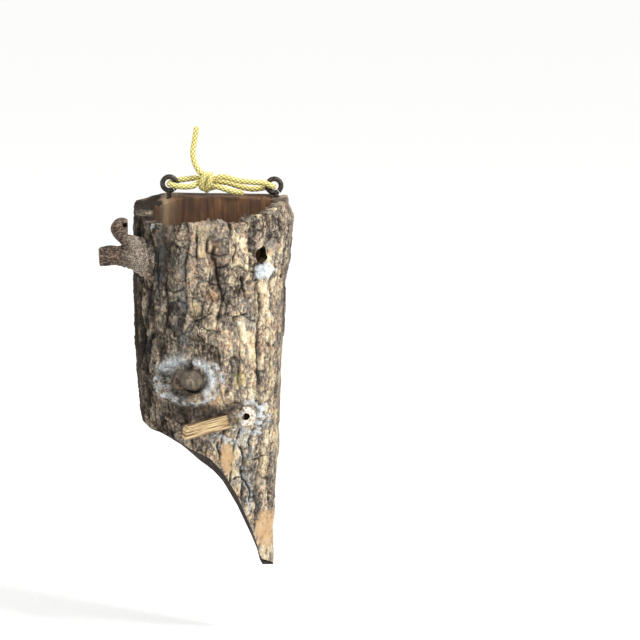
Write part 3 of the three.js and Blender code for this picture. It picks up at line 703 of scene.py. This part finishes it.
def barkField(angle, x, z):
    # height over the base surface and the masks that the bark's colours follow
    s = log
    degrees = np.degrees(angle)
    girth = angle * s["width"] / 2
    warpG = 4.2 * (noise(girth / 11, z / 16, 11) - 0.5)
    warpG = warpG + 1.8 * (noise(girth / 3, z / 5, 12, 3) - 0.5)
    warpZ = 7 * (noise(girth / 8, z / 12, 21) - 0.5)
    sway = 2.6 * np.sin(z / 19 + girth / 31) + 1.4 * np.sin(z / 8.3 + girth / 12)
    column = (girth + sway + warpG) / s["plateWidth"]
    inColumn = column - np.floor(column)
    shift = hashed(np.floor(column), 3, 0)
    row = (z + warpZ) / s["plateHeight"] + shift + 0.12 * np.sin(girth / 4)
    inRow = row - np.floor(row)
    edge = np.minimum(inColumn, 1 - inColumn) * s["plateWidth"]
    crackEdge = np.minimum(inRow, 1 - inRow) * s["plateHeight"]
    opened = smoothStep(0.32, 0.68, noise(np.rint(column) * 7.3, z / 15, 31, 3))
    fissure = ridge(edge, 0.45 + 0.75 * opened) * (0.35 + 0.65 * opened)
    cracked = smoothStep(0.15, 0.45, hashed(np.floor(column), np.rint(row), 41))
    crack = ridge(crackEdge, 0.8) * cracked
    f1, f2, number = cells((girth + warpG) / 5.4, (z + warpZ) / 10.5, 51)
    hair = 1 - smoothStep(0.02, 0.14, f2 - f1)
    hair = hair * smoothStep(0.35, 0.6, noise(girth / 13, z / 17, 55, 2))
    g1, g2, small = cells((girth + 0.6 * warpG) / 2.7, (z + 0.5 * warpZ) / 3.4, 57)
    chip = 1 - smoothStep(0.03, 0.2, g2 - g1)
    chip = chip * smoothStep(0.38, 0.62, noise(girth / 7, z / 9, 58, 2))
    plate = 0.55 + 0.45 * hashed(np.floor(column), np.floor(row), 0)
    steps = noise(girth / 7.5, z / 9, 61, 4) * 7
    flakes = np.floor(steps) + smoothStep(0.72, 1, steps - np.floor(steps))
    grain = noise(girth / 1.2, z / 1.8, 71, 3) - 0.5
    rough = 1 - 0.7 * smoothStep(27, 14, degrees) - 0.35 * smoothStep(150, 166, degrees)
    worn = spot(x, z, -29.5, -14, 6.5, 22, 0.3, 0.3)
    knob = spot(x, z, 0.9, -4.4, 6.8, 5.6, 0.6, 0.3)
    bare = painted("bare", x, z)
    # painted shadow of the stick: a smooth dark patch on the bark just above the stick
    stickShadow = spot(x, z, -5, -132, 20, 7, 0.5, 0.6)
    boss = spot(x, z, 14, -132.5, 6.5, 9, 0.4, 0.5)
    k = knotField(x, z)
    seam = seamField(x, z) * (1 - boss)
    quiet = 1 - 0.85 * k["near"] - 0.8 * worn - 0.85 * knob - 0.8 * bare - 0.6 * stickShadow
    quiet = np.clip(quiet, 0.05, 1) * rough
    cuts = np.maximum.reduce([fissure, 0.62 * crack, 0.4 * hair, 0.26 * chip])
    height = s["bark"] * plate * (1 - 0.95 * cuts * quiet)
    height += quiet * (0.34 * (flakes - 3.5) + 0.6 * (number - 0.5) + 0.65 * (small - 0.5))
    height += (0.25 + 0.75 * quiet) * 0.95 * grain - 2.1 * seam
    height += k["height"] - 0.5 * s["bark"] * plate * k["near"]
    height += 4.2 * knob - 1.0 * worn - 0.8 * bare + 4.2 * np.sqrt(np.clip(boss, 0, 1))
    # lumps of glue round the peg hole and the stump
    gluePeg = spot(x, z, 34.8, -34.2, 6, 5.8, 0.25, 1.0)
    sunken = spot(x, z, 38.5, -20.5, 4.6, 6.5, 0.4, 0.5)
    patches = smoothStep(0.42, 0.56, noise(x / 2.2, z / 2.2, 91, 3))
    glueStump = spot(x, z, 27, -137, 9.5, 13, 0.3, 0.9) * patches
    drips = smoothStep(0.5, 0.6, noise(x / 1.8, z / 2.4, 92, 3))
    glueDrip = spot(x, z, 15, -149, 13, 8, 0.4, 1.2) * drips
    glueCorner = spot(x, z, -38, 3, 4, 9, 0.5, 1.4) * patches
    glueSeam = 0.8 * ridge(seam - 0.45, 0.25) * smoothStep(-148, -156, z) * patches
    glueAndHighlight = np.maximum.reduce([gluePeg, 0.95 * glueStump, 0.75 * glueDrip, 0.45 * glueCorner, glueSeam,
                              k["glueAndHighlight"]])
    height += 1.1 * gluePeg + 0.7 * glueStump - 1.4 * sunken
    # dark brown: real wear on the worn patch and a little on the knot's left; painted shade down the left
    # side and along the right edge; the stick's painted shadow just above the stick; painted shade on the
    # boss in the gap between stick and stump
    brown = np.maximum.reduce([0.35 * smoothStep(27, 15, degrees), smoothStep(142, 160, degrees),
                               0.6 * worn, stickShadow, 0.9 * boss,
                               0.25 * ridge(k["reach"] - 0.65, 0.25) * smoothStep(4, -4, x - knot["x"])])
    tone = 0.34 * hashed(np.floor(column), np.floor(row), 2)
    tone = tone + 0.27 * number + 0.24 * small + 0.4 * grain + 0.12
    # near-black in the fissures, cracks, chips and seams: the bark's own dark there with painted shade in
    # the recesses; the knot adds its painted shadow and shade
    dark = np.maximum.reduce([fissure, 0.85 * crack, 0.75 * hair, 0.45 * chip]) * quiet
    dark = np.maximum.reduce([dark, seam, k["dark"]])
    grey = np.maximum(0.35 * knob, 1 - smoothStep(knot["dome"], knot["dome"] + 1.5, k["dome"]))
    # painted light: the bark is painted lighter to the right and towards the bottom, and darker again on
    # the far right edge
    paintedLight = smoothStep(-48, 24, x) - 0.35 * smoothStep(38, 46, x) + 0.3 * smoothStep(-140, -170, z)
    return dict(height=height, fissure=dark, tone=tone, glueAndHighlight=glueAndHighlight, bare=bare, brown=brown, grey=grey,
                lichen=painted("lichen", x, z), orange=painted("orange", x, z),
                blue=np.maximum(sunken, painted("blue", x, z)), paintedLight=np.clip(paintedLight, 0, 1))


def rimHeight(degrees, back):
    drop = np.where(back < 0, along(rimShare, degrees), along(backTop, np.clip(back, 0, 1)))
    turn = np.radians(degrees)
    ragged = 1.1 * np.sin(turn * 23) * np.sin(turn * 9 + 1)
    ragged = ragged + 2.2 * (noise(degrees / 3.2, degrees * 0, 101, 3) - 0.5)
    return log["top"] - log["rimDrop"] * drop + np.where(back < 0, ragged, 0)


def trunkPiece():
    s = log
    rows = s["rows"] + s["rimRows"]
    columns = s["frontColumns"] + s["backColumns"]
    obj, column, row, centre = rolledGrid("log_bark", columns, rows)
    onBack = column > s["frontColumns"]
    back = np.where(onBack, (column - s["frontColumns"]) / s["backColumns"], -1)
    angle = np.where(onBack, 0, column / s["frontColumns"] * math.pi)
    foot = s["top"] - s["height"] - s["seat"]
    side = np.clip(row / s["rows"], 0, 1)
    z = foot + (rimHeight(np.degrees(angle), back) - foot) * side
    base = trunkRadius(angle, z)
    x = middleAt(z) + base * np.cos(angle)
    radius = base + barkField(angle, x, z)["height"]
    px = middleAt(z) + radius * np.cos(angle)
    py = -radius * np.sin(angle)
    left, right = {}, {}
    for i in np.flatnonzero((column == s["frontColumns"]) & (row <= s["rows"])):
        left[row[i]] = px[i]
    for i in np.flatnonzero((column == 0) & (row <= s["rows"])):
        right[row[i]] = px[i]
    for i in np.flatnonzero(onBack):
        low = min(row[i], s["rows"])
        px[i] = left[low] + (right[low] - left[low]) * back[i]
        py[i] = 0
    # the rim: rings that run in towards the middle, broken and fibrous
    inward = np.clip((row - s["rows"]) / s["rimRows"], 0, 1) * s["rimReach"]
    middle = np.array([0, -s["depth"] / 2, s["top"] - s["rimDrop"] * 0.45])
    broken = s["rimBroken"] * (noise(column / 5.0, row / 2.0, 111, 4) - 0.5) * (inward > 0) * ~onBack
    px = px + (middle[0] - px) * inward
    py = py + (middle[1] - py) * inward
    z = (z - s["rimWorn"] * smoothStep(0, 0.12, inward)
         + (middle[2] - z) * smoothStep(0.3, 0.6, inward) + broken)
    points = np.stack([px, py, z], axis=1)
    points[centre & (row == rows)] = middle
    points[centre & (row == 0)] = (0, -depthAt(foot) / 2, foot)
    writePoints(obj, points * mm)
    faceOut(obj)
    fileUnder(obj, "bark")
    return obj


def pocketCutter():
    s = log
    front, back, rows = 110, 46, 70
    obj, column, row, centre = rolledGrid("pocket_cutter", front + back, rows)
    onBack = column > front
    share = np.where(onBack, (column - front) / back, 0)
    angle = np.where(onBack, 0, column / front * math.pi)
    floor = s["top"] - s["pocketDepth"]
    z = floor + (s["pocketDepth"] + s["top"]) * row / rows
    level = np.minimum(z, s["top"])
    draw = s["sideWall"] + s["floorRound"] * (1 - smoothStep(0, 0.2, row / rows))
    gouge = 0.5 * (noise(column / 3.0, z / 30, 121, 2) - 0.5)
    half = (rightAt(level) - leftAt(level)) / 2 - draw
    radius = sectionRadius(angle, half, depthAt(level) - draw - s["backWall"]) + gouge
    x = middleAt(level) + np.where(onBack, half * (2 * share - 1), radius * np.cos(angle))
    x = x + s["leftExtra"] * smoothStep(-25, -42, x)
    y = -s["backWall"] - np.where(onBack, 0.5 * gouge, radius * np.sin(angle))
    points = np.stack([x, y, z], axis=1)
    points[centre] = np.stack([0 * z, 0 * z - s["depth"] / 2, z], axis=1)[centre]
    writePoints(obj, points * mm)
    faceOut(obj)
    fileUnder(obj, "insideWood")
    return obj


def cutHeight(x, y):
    share = x / (log["width"] / 2)
    edge = log["top"] - log["height"] * straightAlong(cutEdge, share)
    return edge - y * along(cutBevel, share)


def lowerCutter():
    deselectAll()
    bpy.ops.mesh.primitive_grid_add(x_subdivisions=210, y_subdivisions=70, size=1)
    obj = bpy.context.object
    obj.name = "cut_cutter"
    points = readPoints(obj)
    x = points[:, 0] * log["width"] * 1.4
    y = 5 - (points[:, 1] + 0.5) * (log["depth"] * 1.3 + 5)
    # long shallow gouge strokes from front to back
    stroke = 0.5 * (noise(x / 5.5 + y / 30, y / 26, 131, 3) - 0.5)
    points = np.stack([x, y, cutHeight(x, y) + stroke], axis=1)
    writePoints(obj, points * mm)
    below = {"value": (0, 0, -0.2)}
    editAll(obj, lambda: bpy.ops.mesh.extrude_region_move(TRANSFORM_OT_translate=below))
    faceOut(obj)
    fileUnder(obj, "stainedCut")
    return obj


def angleAtX(x, z):
    low, high = 0.0, math.pi
    for _ in range(30):
        angle = (low + high) / 2
        if middleAt(z) + trunkRadius(angle, z) * math.cos(angle) > x:
            low = angle
        else:
            high = angle
    return low


def coarseRelief(angle, x, z):
    # the bark height of the solid, which seats the stick, stump and branch
    s = log
    girth = angle * s["width"] / 2
    sway = 2.6 * math.sin(z / 19 + girth / 31) + 1.4 * math.sin(z / 8.3 + girth / 12)
    column = (girth + sway) / s["plateWidth"]
    inColumn = column - math.floor(column)
    row = z / s["plateHeight"] + hashed(math.floor(column), 3, 0) + 0.12 * math.sin(girth / 4)
    inRow = row - math.floor(row)
    fissure = ridge(min(inColumn, 1 - inColumn) * s["plateWidth"], 2.3)
    crack = 0.7 * ridge(min(inRow, 1 - inRow) * s["plateHeight"], 2.9)
    plate = 0.55 + 0.45 * hashed(math.floor(column), math.floor(row), 0)
    k = knot
    reach = math.hypot((x - k["x"]) / (k["collarWidth"] / 2), (z - k["z"]) / (k["collarHeight"] / 2))
    radius = math.hypot(x - k["x"], z - k["z"])
    rings = ridge(reach - 1, 0.2) - 0.5 * ridge(reach - 0.75, 0.13)
    rings += 0.75 * ridge(radius - k["ring"], 2.6) - 0.7 * ridge(radius - k["dome"] - 1.5, 2)
    flat = s["bark"] * plate * (1 - max(fissure, crack))
    return flat * (1 - 0.8 * ridge(reach, 1.05)) + k["relief"] * rings


def surfacePoint(angle, z):
    base = trunkRadius(angle, z)
    radius = base + coarseRelief(angle, middleAt(z) + base * math.cos(angle), z)
    return np.array([middleAt(z) + radius * math.cos(angle), -radius * math.sin(angle), z])


def pointAt(x, z):
    return surfacePoint(angleAtX(x, z), z)


def boolean(target, tool, operation):
    activate(target)
    change = target.modifiers.new(operation.lower(), 'BOOLEAN')
    change.operation = operation
    change.object = tool
    change.solver = 'MANIFOLD'
    bpy.ops.object.modifier_apply(modifier=change.name)
    bpy.data.objects.remove(tool)


# the log's finishes share one order of slots, so that every cut keeps its own
finishes = list(woods)


def fileUnder(obj, finish, tips=None):
    # fills the slots; faces whose points are all in tips become end grain
    for wood in woods.values():
        obj.data.materials.append(wood)
    index = np.full(len(obj.data.polygons), finishes.index(finish), np.int32)
    if tips is not None:
        start = readEach(obj.data.polygons, "loop_start", kind=np.int32)
        corner = readEach(obj.data.loops, "vertex_index", kind=np.int32)
        whole = np.minimum.reduceat(tips[corner].astype(int), start) > 0
        index[whole] = finishes.index("endGrain")
    obj.data.polygons.foreach_set("material_index", index)


# branch: a flared wrinkled base, a stub cut square and a rounded twig, with the scrap of a third

branch = dict(z=-26, angle=146, base=17, radius=6.5, reach=30, twig=6.4, rise=27, pith=1.7,
              pithPlace=(-11.8, -17, 22.8), pithDepth=9, scrap=2.9, scrapPlace=(4, -6, -9))


def branchFoot():
    z, angle = branch["z"], math.radians(branch["angle"])
    ahead, behind = [trunkRadius(a, z) * np.array([math.cos(a), -math.sin(a), 0])
                     for a in (angle + 0.05, angle - 0.05)]
    tangent = unit(ahead - behind)
    return surfacePoint(angle, z), np.array([-tangent[1], tangent[0], 0])


def branchPieces():
    b = branch
    foot, out = branchFoot()
    reach = b["reach"]
    path, length = smoothPath([foot - 6 * out, foot + 5 * out, foot + (-reach * 0.4, -5, 0.4),
                               foot + (-reach * 0.7, -5, 0.9), foot + (-reach, -5, 0.5)], 0.55)

    def stubRadius(share, angle):
        flare = b["radius"] + (b["base"] - b["radius"]) * ridge(share, 0.3)
        lumps = 0.5 * np.sin(3 * angle + 9 * share) + 0.35 * np.sin(7 * angle - 14 * share)
        wave = share * length + 1.6 * ringNoise(angle, 2, 9, share * 6, 401)
        folds = 0.75 * np.sin(wave * 1.7) * ridge(share - 0.25, 0.3)
        ribs = 0.6 * ringNoise(angle, 4, 20, share * 3, 411)
        cut = -0.8 * smoothStep(0.975, 1, share)
        return flare + lumps + folds + ribs + cut

    stub = sweptTube("branch_stub", path, stubRadius, 76)
    along = readPoints(stub)[:, 0] / mm < path[-1][0] + 0.6
    fileUnder(stub, "branchBark", along)

    path, length = smoothPath([foot + (0, -4, 0), foot + (-7, -5, b["rise"] * 0.3),
                               foot + (-13, -5, b["rise"] * 0.6), foot + (-16.4, -4.8, b["rise"])], 0.55)

    def twigRadius(share, angle):
        domed = np.sqrt(np.clip(1 - (np.clip(share - 0.76, 0, 1) / 0.245) ** 2, 0.001, 1))
        ribs = 1.4 * ringNoise(angle, 3, 5, share * 3, 421)
        ribs = ribs + 0.6 * np.sin(share * length * 1.7 + 2 * np.cos(angle)) * ridge(share - 0.15, 0.25)
        thick = b["twig"] + 0.3 + 1.6 * ridge(share, 0.3) - 1.6 * ridge(share - 0.52, 0.11)
        thick = thick + 1.4 * ridge(share - 0.82, 0.16)
        return (thick + 0.4 * np.sin(4 * angle + 6 * share) + ribs) * domed

    twig = sweptTube("branch_twig", path, twigRadius, 60)
    points = readPoints(twig) / mm
    cutFace = path[-1][0] + b["twig"] - 0.6
    cutHere = (points[:, 0] > cutFace) & (points[:, 2] > foot[2] + 15)
    points[:, 0] = np.where(cutHere, cutFace + 0.06 * (points[:, 0] - cutFace), points[:, 0])
    writePoints(twig, points * mm)
    fileUnder(twig, "branchBark", cutHere)

    pith = foot + b["pithPlace"]
    hollow = drill("pith_cutter", pith, pith + (0, b["pithDepth"], 0), b["pith"], "stainedCut", 0.8)

    scrapRoot = foot + b["scrapPlace"]
    path, length = smoothPath([scrapRoot, scrapRoot + (1.5, -3.5, -3), scrapRoot + (6, -6, -8)], 0.6)
    scrap = sweptTube("branch_scrap", path,
                      lambda share, angle: b["scrap"] * (1 - 0.55 * share ** 2)
                      + 1.2 * (noise(angle * 1.6, share * 5, 431, 3) - 0.5), 24)
    fileUnder(scrap, "endGrain")
    return [stub, twig, scrap], hollow


# cut stump with a hollow heart beside the stick

stump = dict(x=22.4, z=-134.5, radius=6.9, flare=1.6, length=6, root=7, heart=2.5, heartDepth=4,
             aim=(0.05, -1, -0.02))


def stumpPieces():
    s = stump
    aim = unit(s["aim"])
    face = pointAt(s["x"], s["z"])
    front = face + s["length"] * aim

    def bodyRadius(share, angle):
        taper = s["radius"] + s["flare"] * (1 - share)
        return taper + 1.3 * ringNoise(angle, 2, 3, 3, 441, 3) - 0.7 * smoothStep(0.93, 1, share)

    body = sweptTube("stump_body", straightPath(face - s["root"] * aim, front, 0.5), bodyRadius, 64)
    fileUnder(body, "branchBark", (readPoints(body) / mm - front) @ aim > -1.2)

    def heartRadius(share, angle):
        return s["heart"] * (1.05 + 0.6 * ringNoise(angle, 1.6, 5, 5, 451, 3))

    heart = sweptTube("heart_cutter", straightPath(front - s["heartDepth"] * aim, front + 2 * aim, 0.8),
                      heartRadius, 28)
    fileUnder(heart, "stainedCut")
    return body, heart


# peg hole, stick socket and the two pilot holes are drilled

drilled = dict(pegX=33.3, pegZ=-22.9, pegRadius=6.1, pegSlant=42, pegReach=22.6, gap=0.3)


def drill(name, start, end, radius, finish="insideWood", wobble=0.0):
    def radiusAt(share, angle):
        return radius + wobble * (noise(angle * 2.2, share * 6, 461, 3) - 0.5)
    tool = sweptTube(name, straightPath(start, end, 1.0), radiusAt, 44)
    fileUnder(tool, finish)
    return tool


def pegCutter():
    d = drilled
    mouth = pointAt(d["pegX"], d["pegZ"])
    slant = math.radians(d["pegSlant"])
    aim = np.array([math.sin(slant), -math.cos(slant), 0])
    # the hole's walls take the near-black cut finish, painted shade deep in the hole
    return drill("peg_cutter", mouth - d["pegReach"] * aim, mouth + d["pegReach"] * aim, d["pegRadius"],
                 "stainedCut", 0.6)


# perch stick, split along its length and glued into its socket

stick = dict(x=13.5, z=-137, radius=5.6, flat=1.4, length=37, seat=8, faceTurn=190,
             tightReach=4.5, sawSlant=0.32, aim=(-0.84, -0.45, -0.15))
stickAim = unit(stick["aim"])
stickMouth = pointAt(stick["x"], stick["z"])


def flatReach(away, plane):
    # how far the flat lies from the axis, away being the turn from the flat's middle
    return np.where(np.cos(away) > 0.2, plane / np.clip(np.cos(away), 0.2, 1), 99)


def socketCutter():
    # tight round the stick as far as tightReach beyond the mouth, and fully round from there
    s = stick
    start = stickMouth - (s["seat"] + drilled["gap"]) * stickAim
    path = straightPath(start, stickMouth + 4 * s["radius"] * stickAim, 0.5)
    sides = 60
    tool, column, row, centre = rolledGrid("socket_cutter", sides, len(path) - 1)
    angle = column / sides * 2 * math.pi
    side, up = stickAcross()
    outside = (path[row] - stickMouth) @ stickAim > s["tightReach"]
    plane = np.where(outside, s["radius"], s["flat"] + 0.25) + drilled["gap"]
    toFlat = flatReach(angle - math.radians(s["faceTurn"]), plane)
    radius = np.minimum(s["radius"] + drilled["gap"], toFlat)
    radius = np.where(centre, 0, radius)[:, None]
    across = np.cos(angle)[:, None] * side + np.sin(angle)[:, None] * up
    writePoints(tool, (path[row] + radius * across) * mm)
    faceOut(tool)
    fileUnder(tool, "insideWood")
    return tool


def stickAcross():
    side = unit(np.cross(stickAim, (0, 0, 1.0)))
    return side, np.cross(side, stickAim)


def makeStick():
    s = stick
    start = stickMouth - s["seat"] * stickAim
    end = stickMouth + s["length"] * stickAim
    path = straightPath(start, end, 0.4)
    rows, sides = len(path) - 1, 96
    obj, column, row, centre = rolledGrid("split_stick", sides, rows)
    angle = column / sides * 2 * math.pi
    side, up = stickAcross()
    away = angle - math.radians(s["faceTurn"])
    share = row / rows
    millimetres = share * (s["length"] + s["seat"])
    bark = 0.5 * (noise(angle * 3, millimetres / 4, 471, 4) - 0.5)
    rim = s["radius"] - 0.28 + bark
    width = np.tan(np.clip(away, -1.3, 1.3))
    plane = s["flat"] + 0.45 * (noise(width * 2.2, millimetres / 22, 481, 4) - 0.5)
    toFlat = flatReach(away, plane)
    radius = np.minimum(rim, toFlat)
    onFace = (toFlat < rim) & ~centre
    radius = radius - 0.5 * smoothStep(0.985, 1, share)
    radius = np.where(centre, 0, radius)
    across = np.cos(angle)[:, None] * side + np.sin(angle)[:, None] * up
    uneven = 0.35 * (noise(angle * 2, share * 0, 491, 2) - 0.5) * (row == rows)
    # the left end is sawn upright, not square to the stick
    slant = -s["sawSlant"] * smoothStep(0.7, 1, share) * radius * across[:, 2]
    place = path[row] + radius[:, None] * across + (uneven + slant)[:, None] * stickAim
    writePoints(obj, place * mm)
    keepLayer(obj, "split", onFace | (row == rows))
    keepLayer(obj, "along", millimetres)
    keepLayer(obj, "across", radius * np.sin(away))
    faceOut(obj)
    bpy.ops.object.shade_smooth_by_angle(angle=math.radians(35))
    obj.data.materials.append(stickWood())
    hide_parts("perch_stick")
    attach(obj, "root")
    print("stick ready")


# screw eyes: an iron ring on a threaded shank

eye = dict(wire=1.75, ring=4.75, shank=1.6, shankLength=14, y=-6.5, thread=1.3, slit=0.5,
           slitTurn=-52, slitRadius=2.4)
eyeLeans = {"eye_screw_left": -2, "eye_screw_right": 14}


def eyeFrame(node):
    low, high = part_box(node)
    centre = np.array([(low.x + high.x) / 2 / mm, eye["y"], high.z / mm - eye["ring"] - eye["wire"]])
    lean = math.radians(eyeLeans[node])
    return centre, np.array([math.sin(lean), 0, -math.cos(lean)])


def pilotCutter(node):
    centre, downward = eyeFrame(node)
    neck = centre + eye["ring"] * downward
    tip = neck + (eye["shankLength"] + drilled["gap"]) * downward
    return drill(node + "_pilot", neck, tip, eye["shank"] + drilled["gap"])


def makeEye(node):
    centre, downward = eyeFrame(node)
    deselectAll()
    bpy.ops.mesh.primitive_torus_add(major_segments=64, minor_segments=24, major_radius=eye["ring"],
                                     minor_radius=eye["wire"], rotation=(math.pi / 2, 0, 0))
    ring = bpy.context.object
    ring.name = node.replace("eye_screw", "iron_eye")
    bpy.ops.object.transform_apply(location=False, rotation=True, scale=False)
    points = readPoints(ring)
    x, y, z = points.T
    hammered = 1 + 0.035 * (noise(x * 1.3, z * 1.3 + y, 501, 3) - 0.5)
    points[:, 1] *= 0.98
    writePoints(ring, (points * hammered[:, None] + centre) * mm)
    neck = centre + eye["ring"] * downward
    tip = neck + eye["shankLength"] * downward
    path = straightPath(neck, tip, 0.14)

    def shankRadius(share, angle):
        run = share * eye["shankLength"]
        taper = eye["shank"] * (1 - 0.4 * share)
        phase = run / eye["thread"] - angle / (2 * math.pi)
        groove = ridge(phase - np.rint(phase), 0.2)
        point = np.clip((1.02 - share) / 0.12, 0.15, 1) ** 0.5
        return taper * (1 - 0.16 * groove * smoothStep(4.5, 6, run)) * point

    shank = sweptTube("shank", path, shankRadius, 32)
    boolean(ring, shank, 'UNION')
    # the wire's end stops just short of the shank
    turn = math.radians(eye["slitTurn"])
    radial = np.array([math.cos(turn), 0, math.sin(turn)])
    tangent = np.array([-math.sin(turn), 0, math.cos(turn)])
    middle = centre + eye["ring"] * radial
    path = straightPath(middle - eye["slit"] / 2 * tangent, middle + eye["slit"] / 2 * tangent, 0.25)
    slit = sweptTube("slit", path, lambda share, angle: 0 * share + eye["slitRadius"], 20)
    boolean(ring, slit, 'DIFFERENCE')
    activate(ring)
    bpy.ops.object.shade_smooth_by_angle(angle=math.radians(40))
    ring.data.materials.clear()
    ring.data.materials.append(iron)
    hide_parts(node)
    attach(ring, "root")
    print(node, "ready")


def makeLog():
    trunk = trunkPiece()
    limbs, pith = branchPieces()
    for piece in limbs:
        boolean(trunk, piece, 'UNION')
    body, heart = stumpPieces()
    boolean(trunk, body, 'UNION')
    print("limbs joined")
    cutters = [pocketCutter(), lowerCutter(), heart, pith, socketCutter(), pegCutter()]
    cutters += [pilotCutter(node) for node in eyeLeans]
    for tool in cutters:
        boolean(trunk, tool, 'DIFFERENCE')
    print("pocket, cut and holes made")
    finishLog(trunk)


def finishLog(trunk):
    # the sawn back, then the masks that the bark's colours follow
    faces = trunk.data.polygons
    normal = readEach(faces, "normal", 3)
    centre = readEach(faces, "center", 3) / mm
    index = readEach(faces, "material_index", kind=np.int32)
    isBark = index == finishes.index("bark")
    onBack = (normal[:, 1] > 0.9) & (centre[:, 1] > -0.6)
    onTop = (normal[:, 2] > 0.5) & (centre[:, 1] > -log["backWall"] - 1) & (centre[:, 2] > 0)
    onTop &= abs(centre[:, 0] - log["topMiddle"]) < log["topReach"]
    index[isBark & onTop] = finishes.index("insideWood")
    index[isBark & onBack] = finishes.index("sawnBack")
    faces.foreach_set("material_index", index)
    points = readPoints(trunk) / mm
    x, y, z = points[:, 0], points[:, 1], points[:, 2]
    level = np.clip(z, log["top"] - log["height"], log["top"])
    angle = np.clip(np.arctan2(-y, x - middleAt(level)), 0, math.pi)
    base = trunkRadius(angle, level)
    field = barkField(angle, middleAt(level) + base * np.cos(angle), z)
    # the broken rim is dark and dirty inside the bark's edge
    inside = base - np.hypot(x - middleAt(level), y)
    field["brown"] = np.maximum(field["brown"], 0.6 * smoothStep(1.5, 4, inside))
    for name in maskNames:
        keepLayer(trunk, name, field[name])
    activate(trunk)
    bpy.ops.object.shade_smooth_by_angle(angle=math.radians(50))
    trunk.name = "bark_log"
    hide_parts("log")
    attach(trunk, "root")
    print("log ready,", len(faces), "faces")


makeLog()
makeStick()
for node in eyeLeans:
    makeEye(node)


# pale floor and soft light from the upper right

stage = dict(floor=-0.3, size=60, fill=1.1)


def makeStage():
    deselectAll()
    bpy.ops.mesh.primitive_plane_add(size=stage["size"], location=(0, 0, stage["floor"]))
    floor = bpy.context.object
    floor.name = "floor"
    material, tree, shader, place = newMaterial("matt_white_paper")
    tooth = grainNoise(tree, place, 3, 1.0, 3, 0.5)
    colour = addNode(tree, "ValToRGB", {0: tooth}, stops=[(0.3, "#f1f1f1"), (0.7, "#f8f8f8")])
    tree.links.new(colour, shader.inputs["Base Color"])
    shader.inputs["Roughness"].default_value = 0.9
    floor.data.materials.append(material)
    world = bpy.data.worlds.new("soft_room")
    bpy.context.scene.world = world
    world.use_nodes = True
    world.node_tree.nodes["Background"].inputs["Color"].default_value = linear("#fbfbfa")
    world.node_tree.nodes["Background"].inputs["Strength"].default_value = stage["fill"]


def addLamp(name, place, aim, size, watts):
    bpy.ops.object.light_add(type='AREA', location=place)
    lamp = bpy.context.object
    lamp.name = name
    lamp.data.shape = 'SQUARE'
    lamp.data.size = size
    lamp.data.energy = watts
    lamp.rotation_euler = (Vector(aim) - Vector(place)).to_track_quat('-Z', 'Y').to_euler()


makeStage()
bpy.context.scene.view_settings.view_transform = 'Standard'
addLamp("key_light", place=(1.1, -1.0, 1.4), aim=(0, 0, -0.1), size=0.45, watts=34)
print("stage ready")
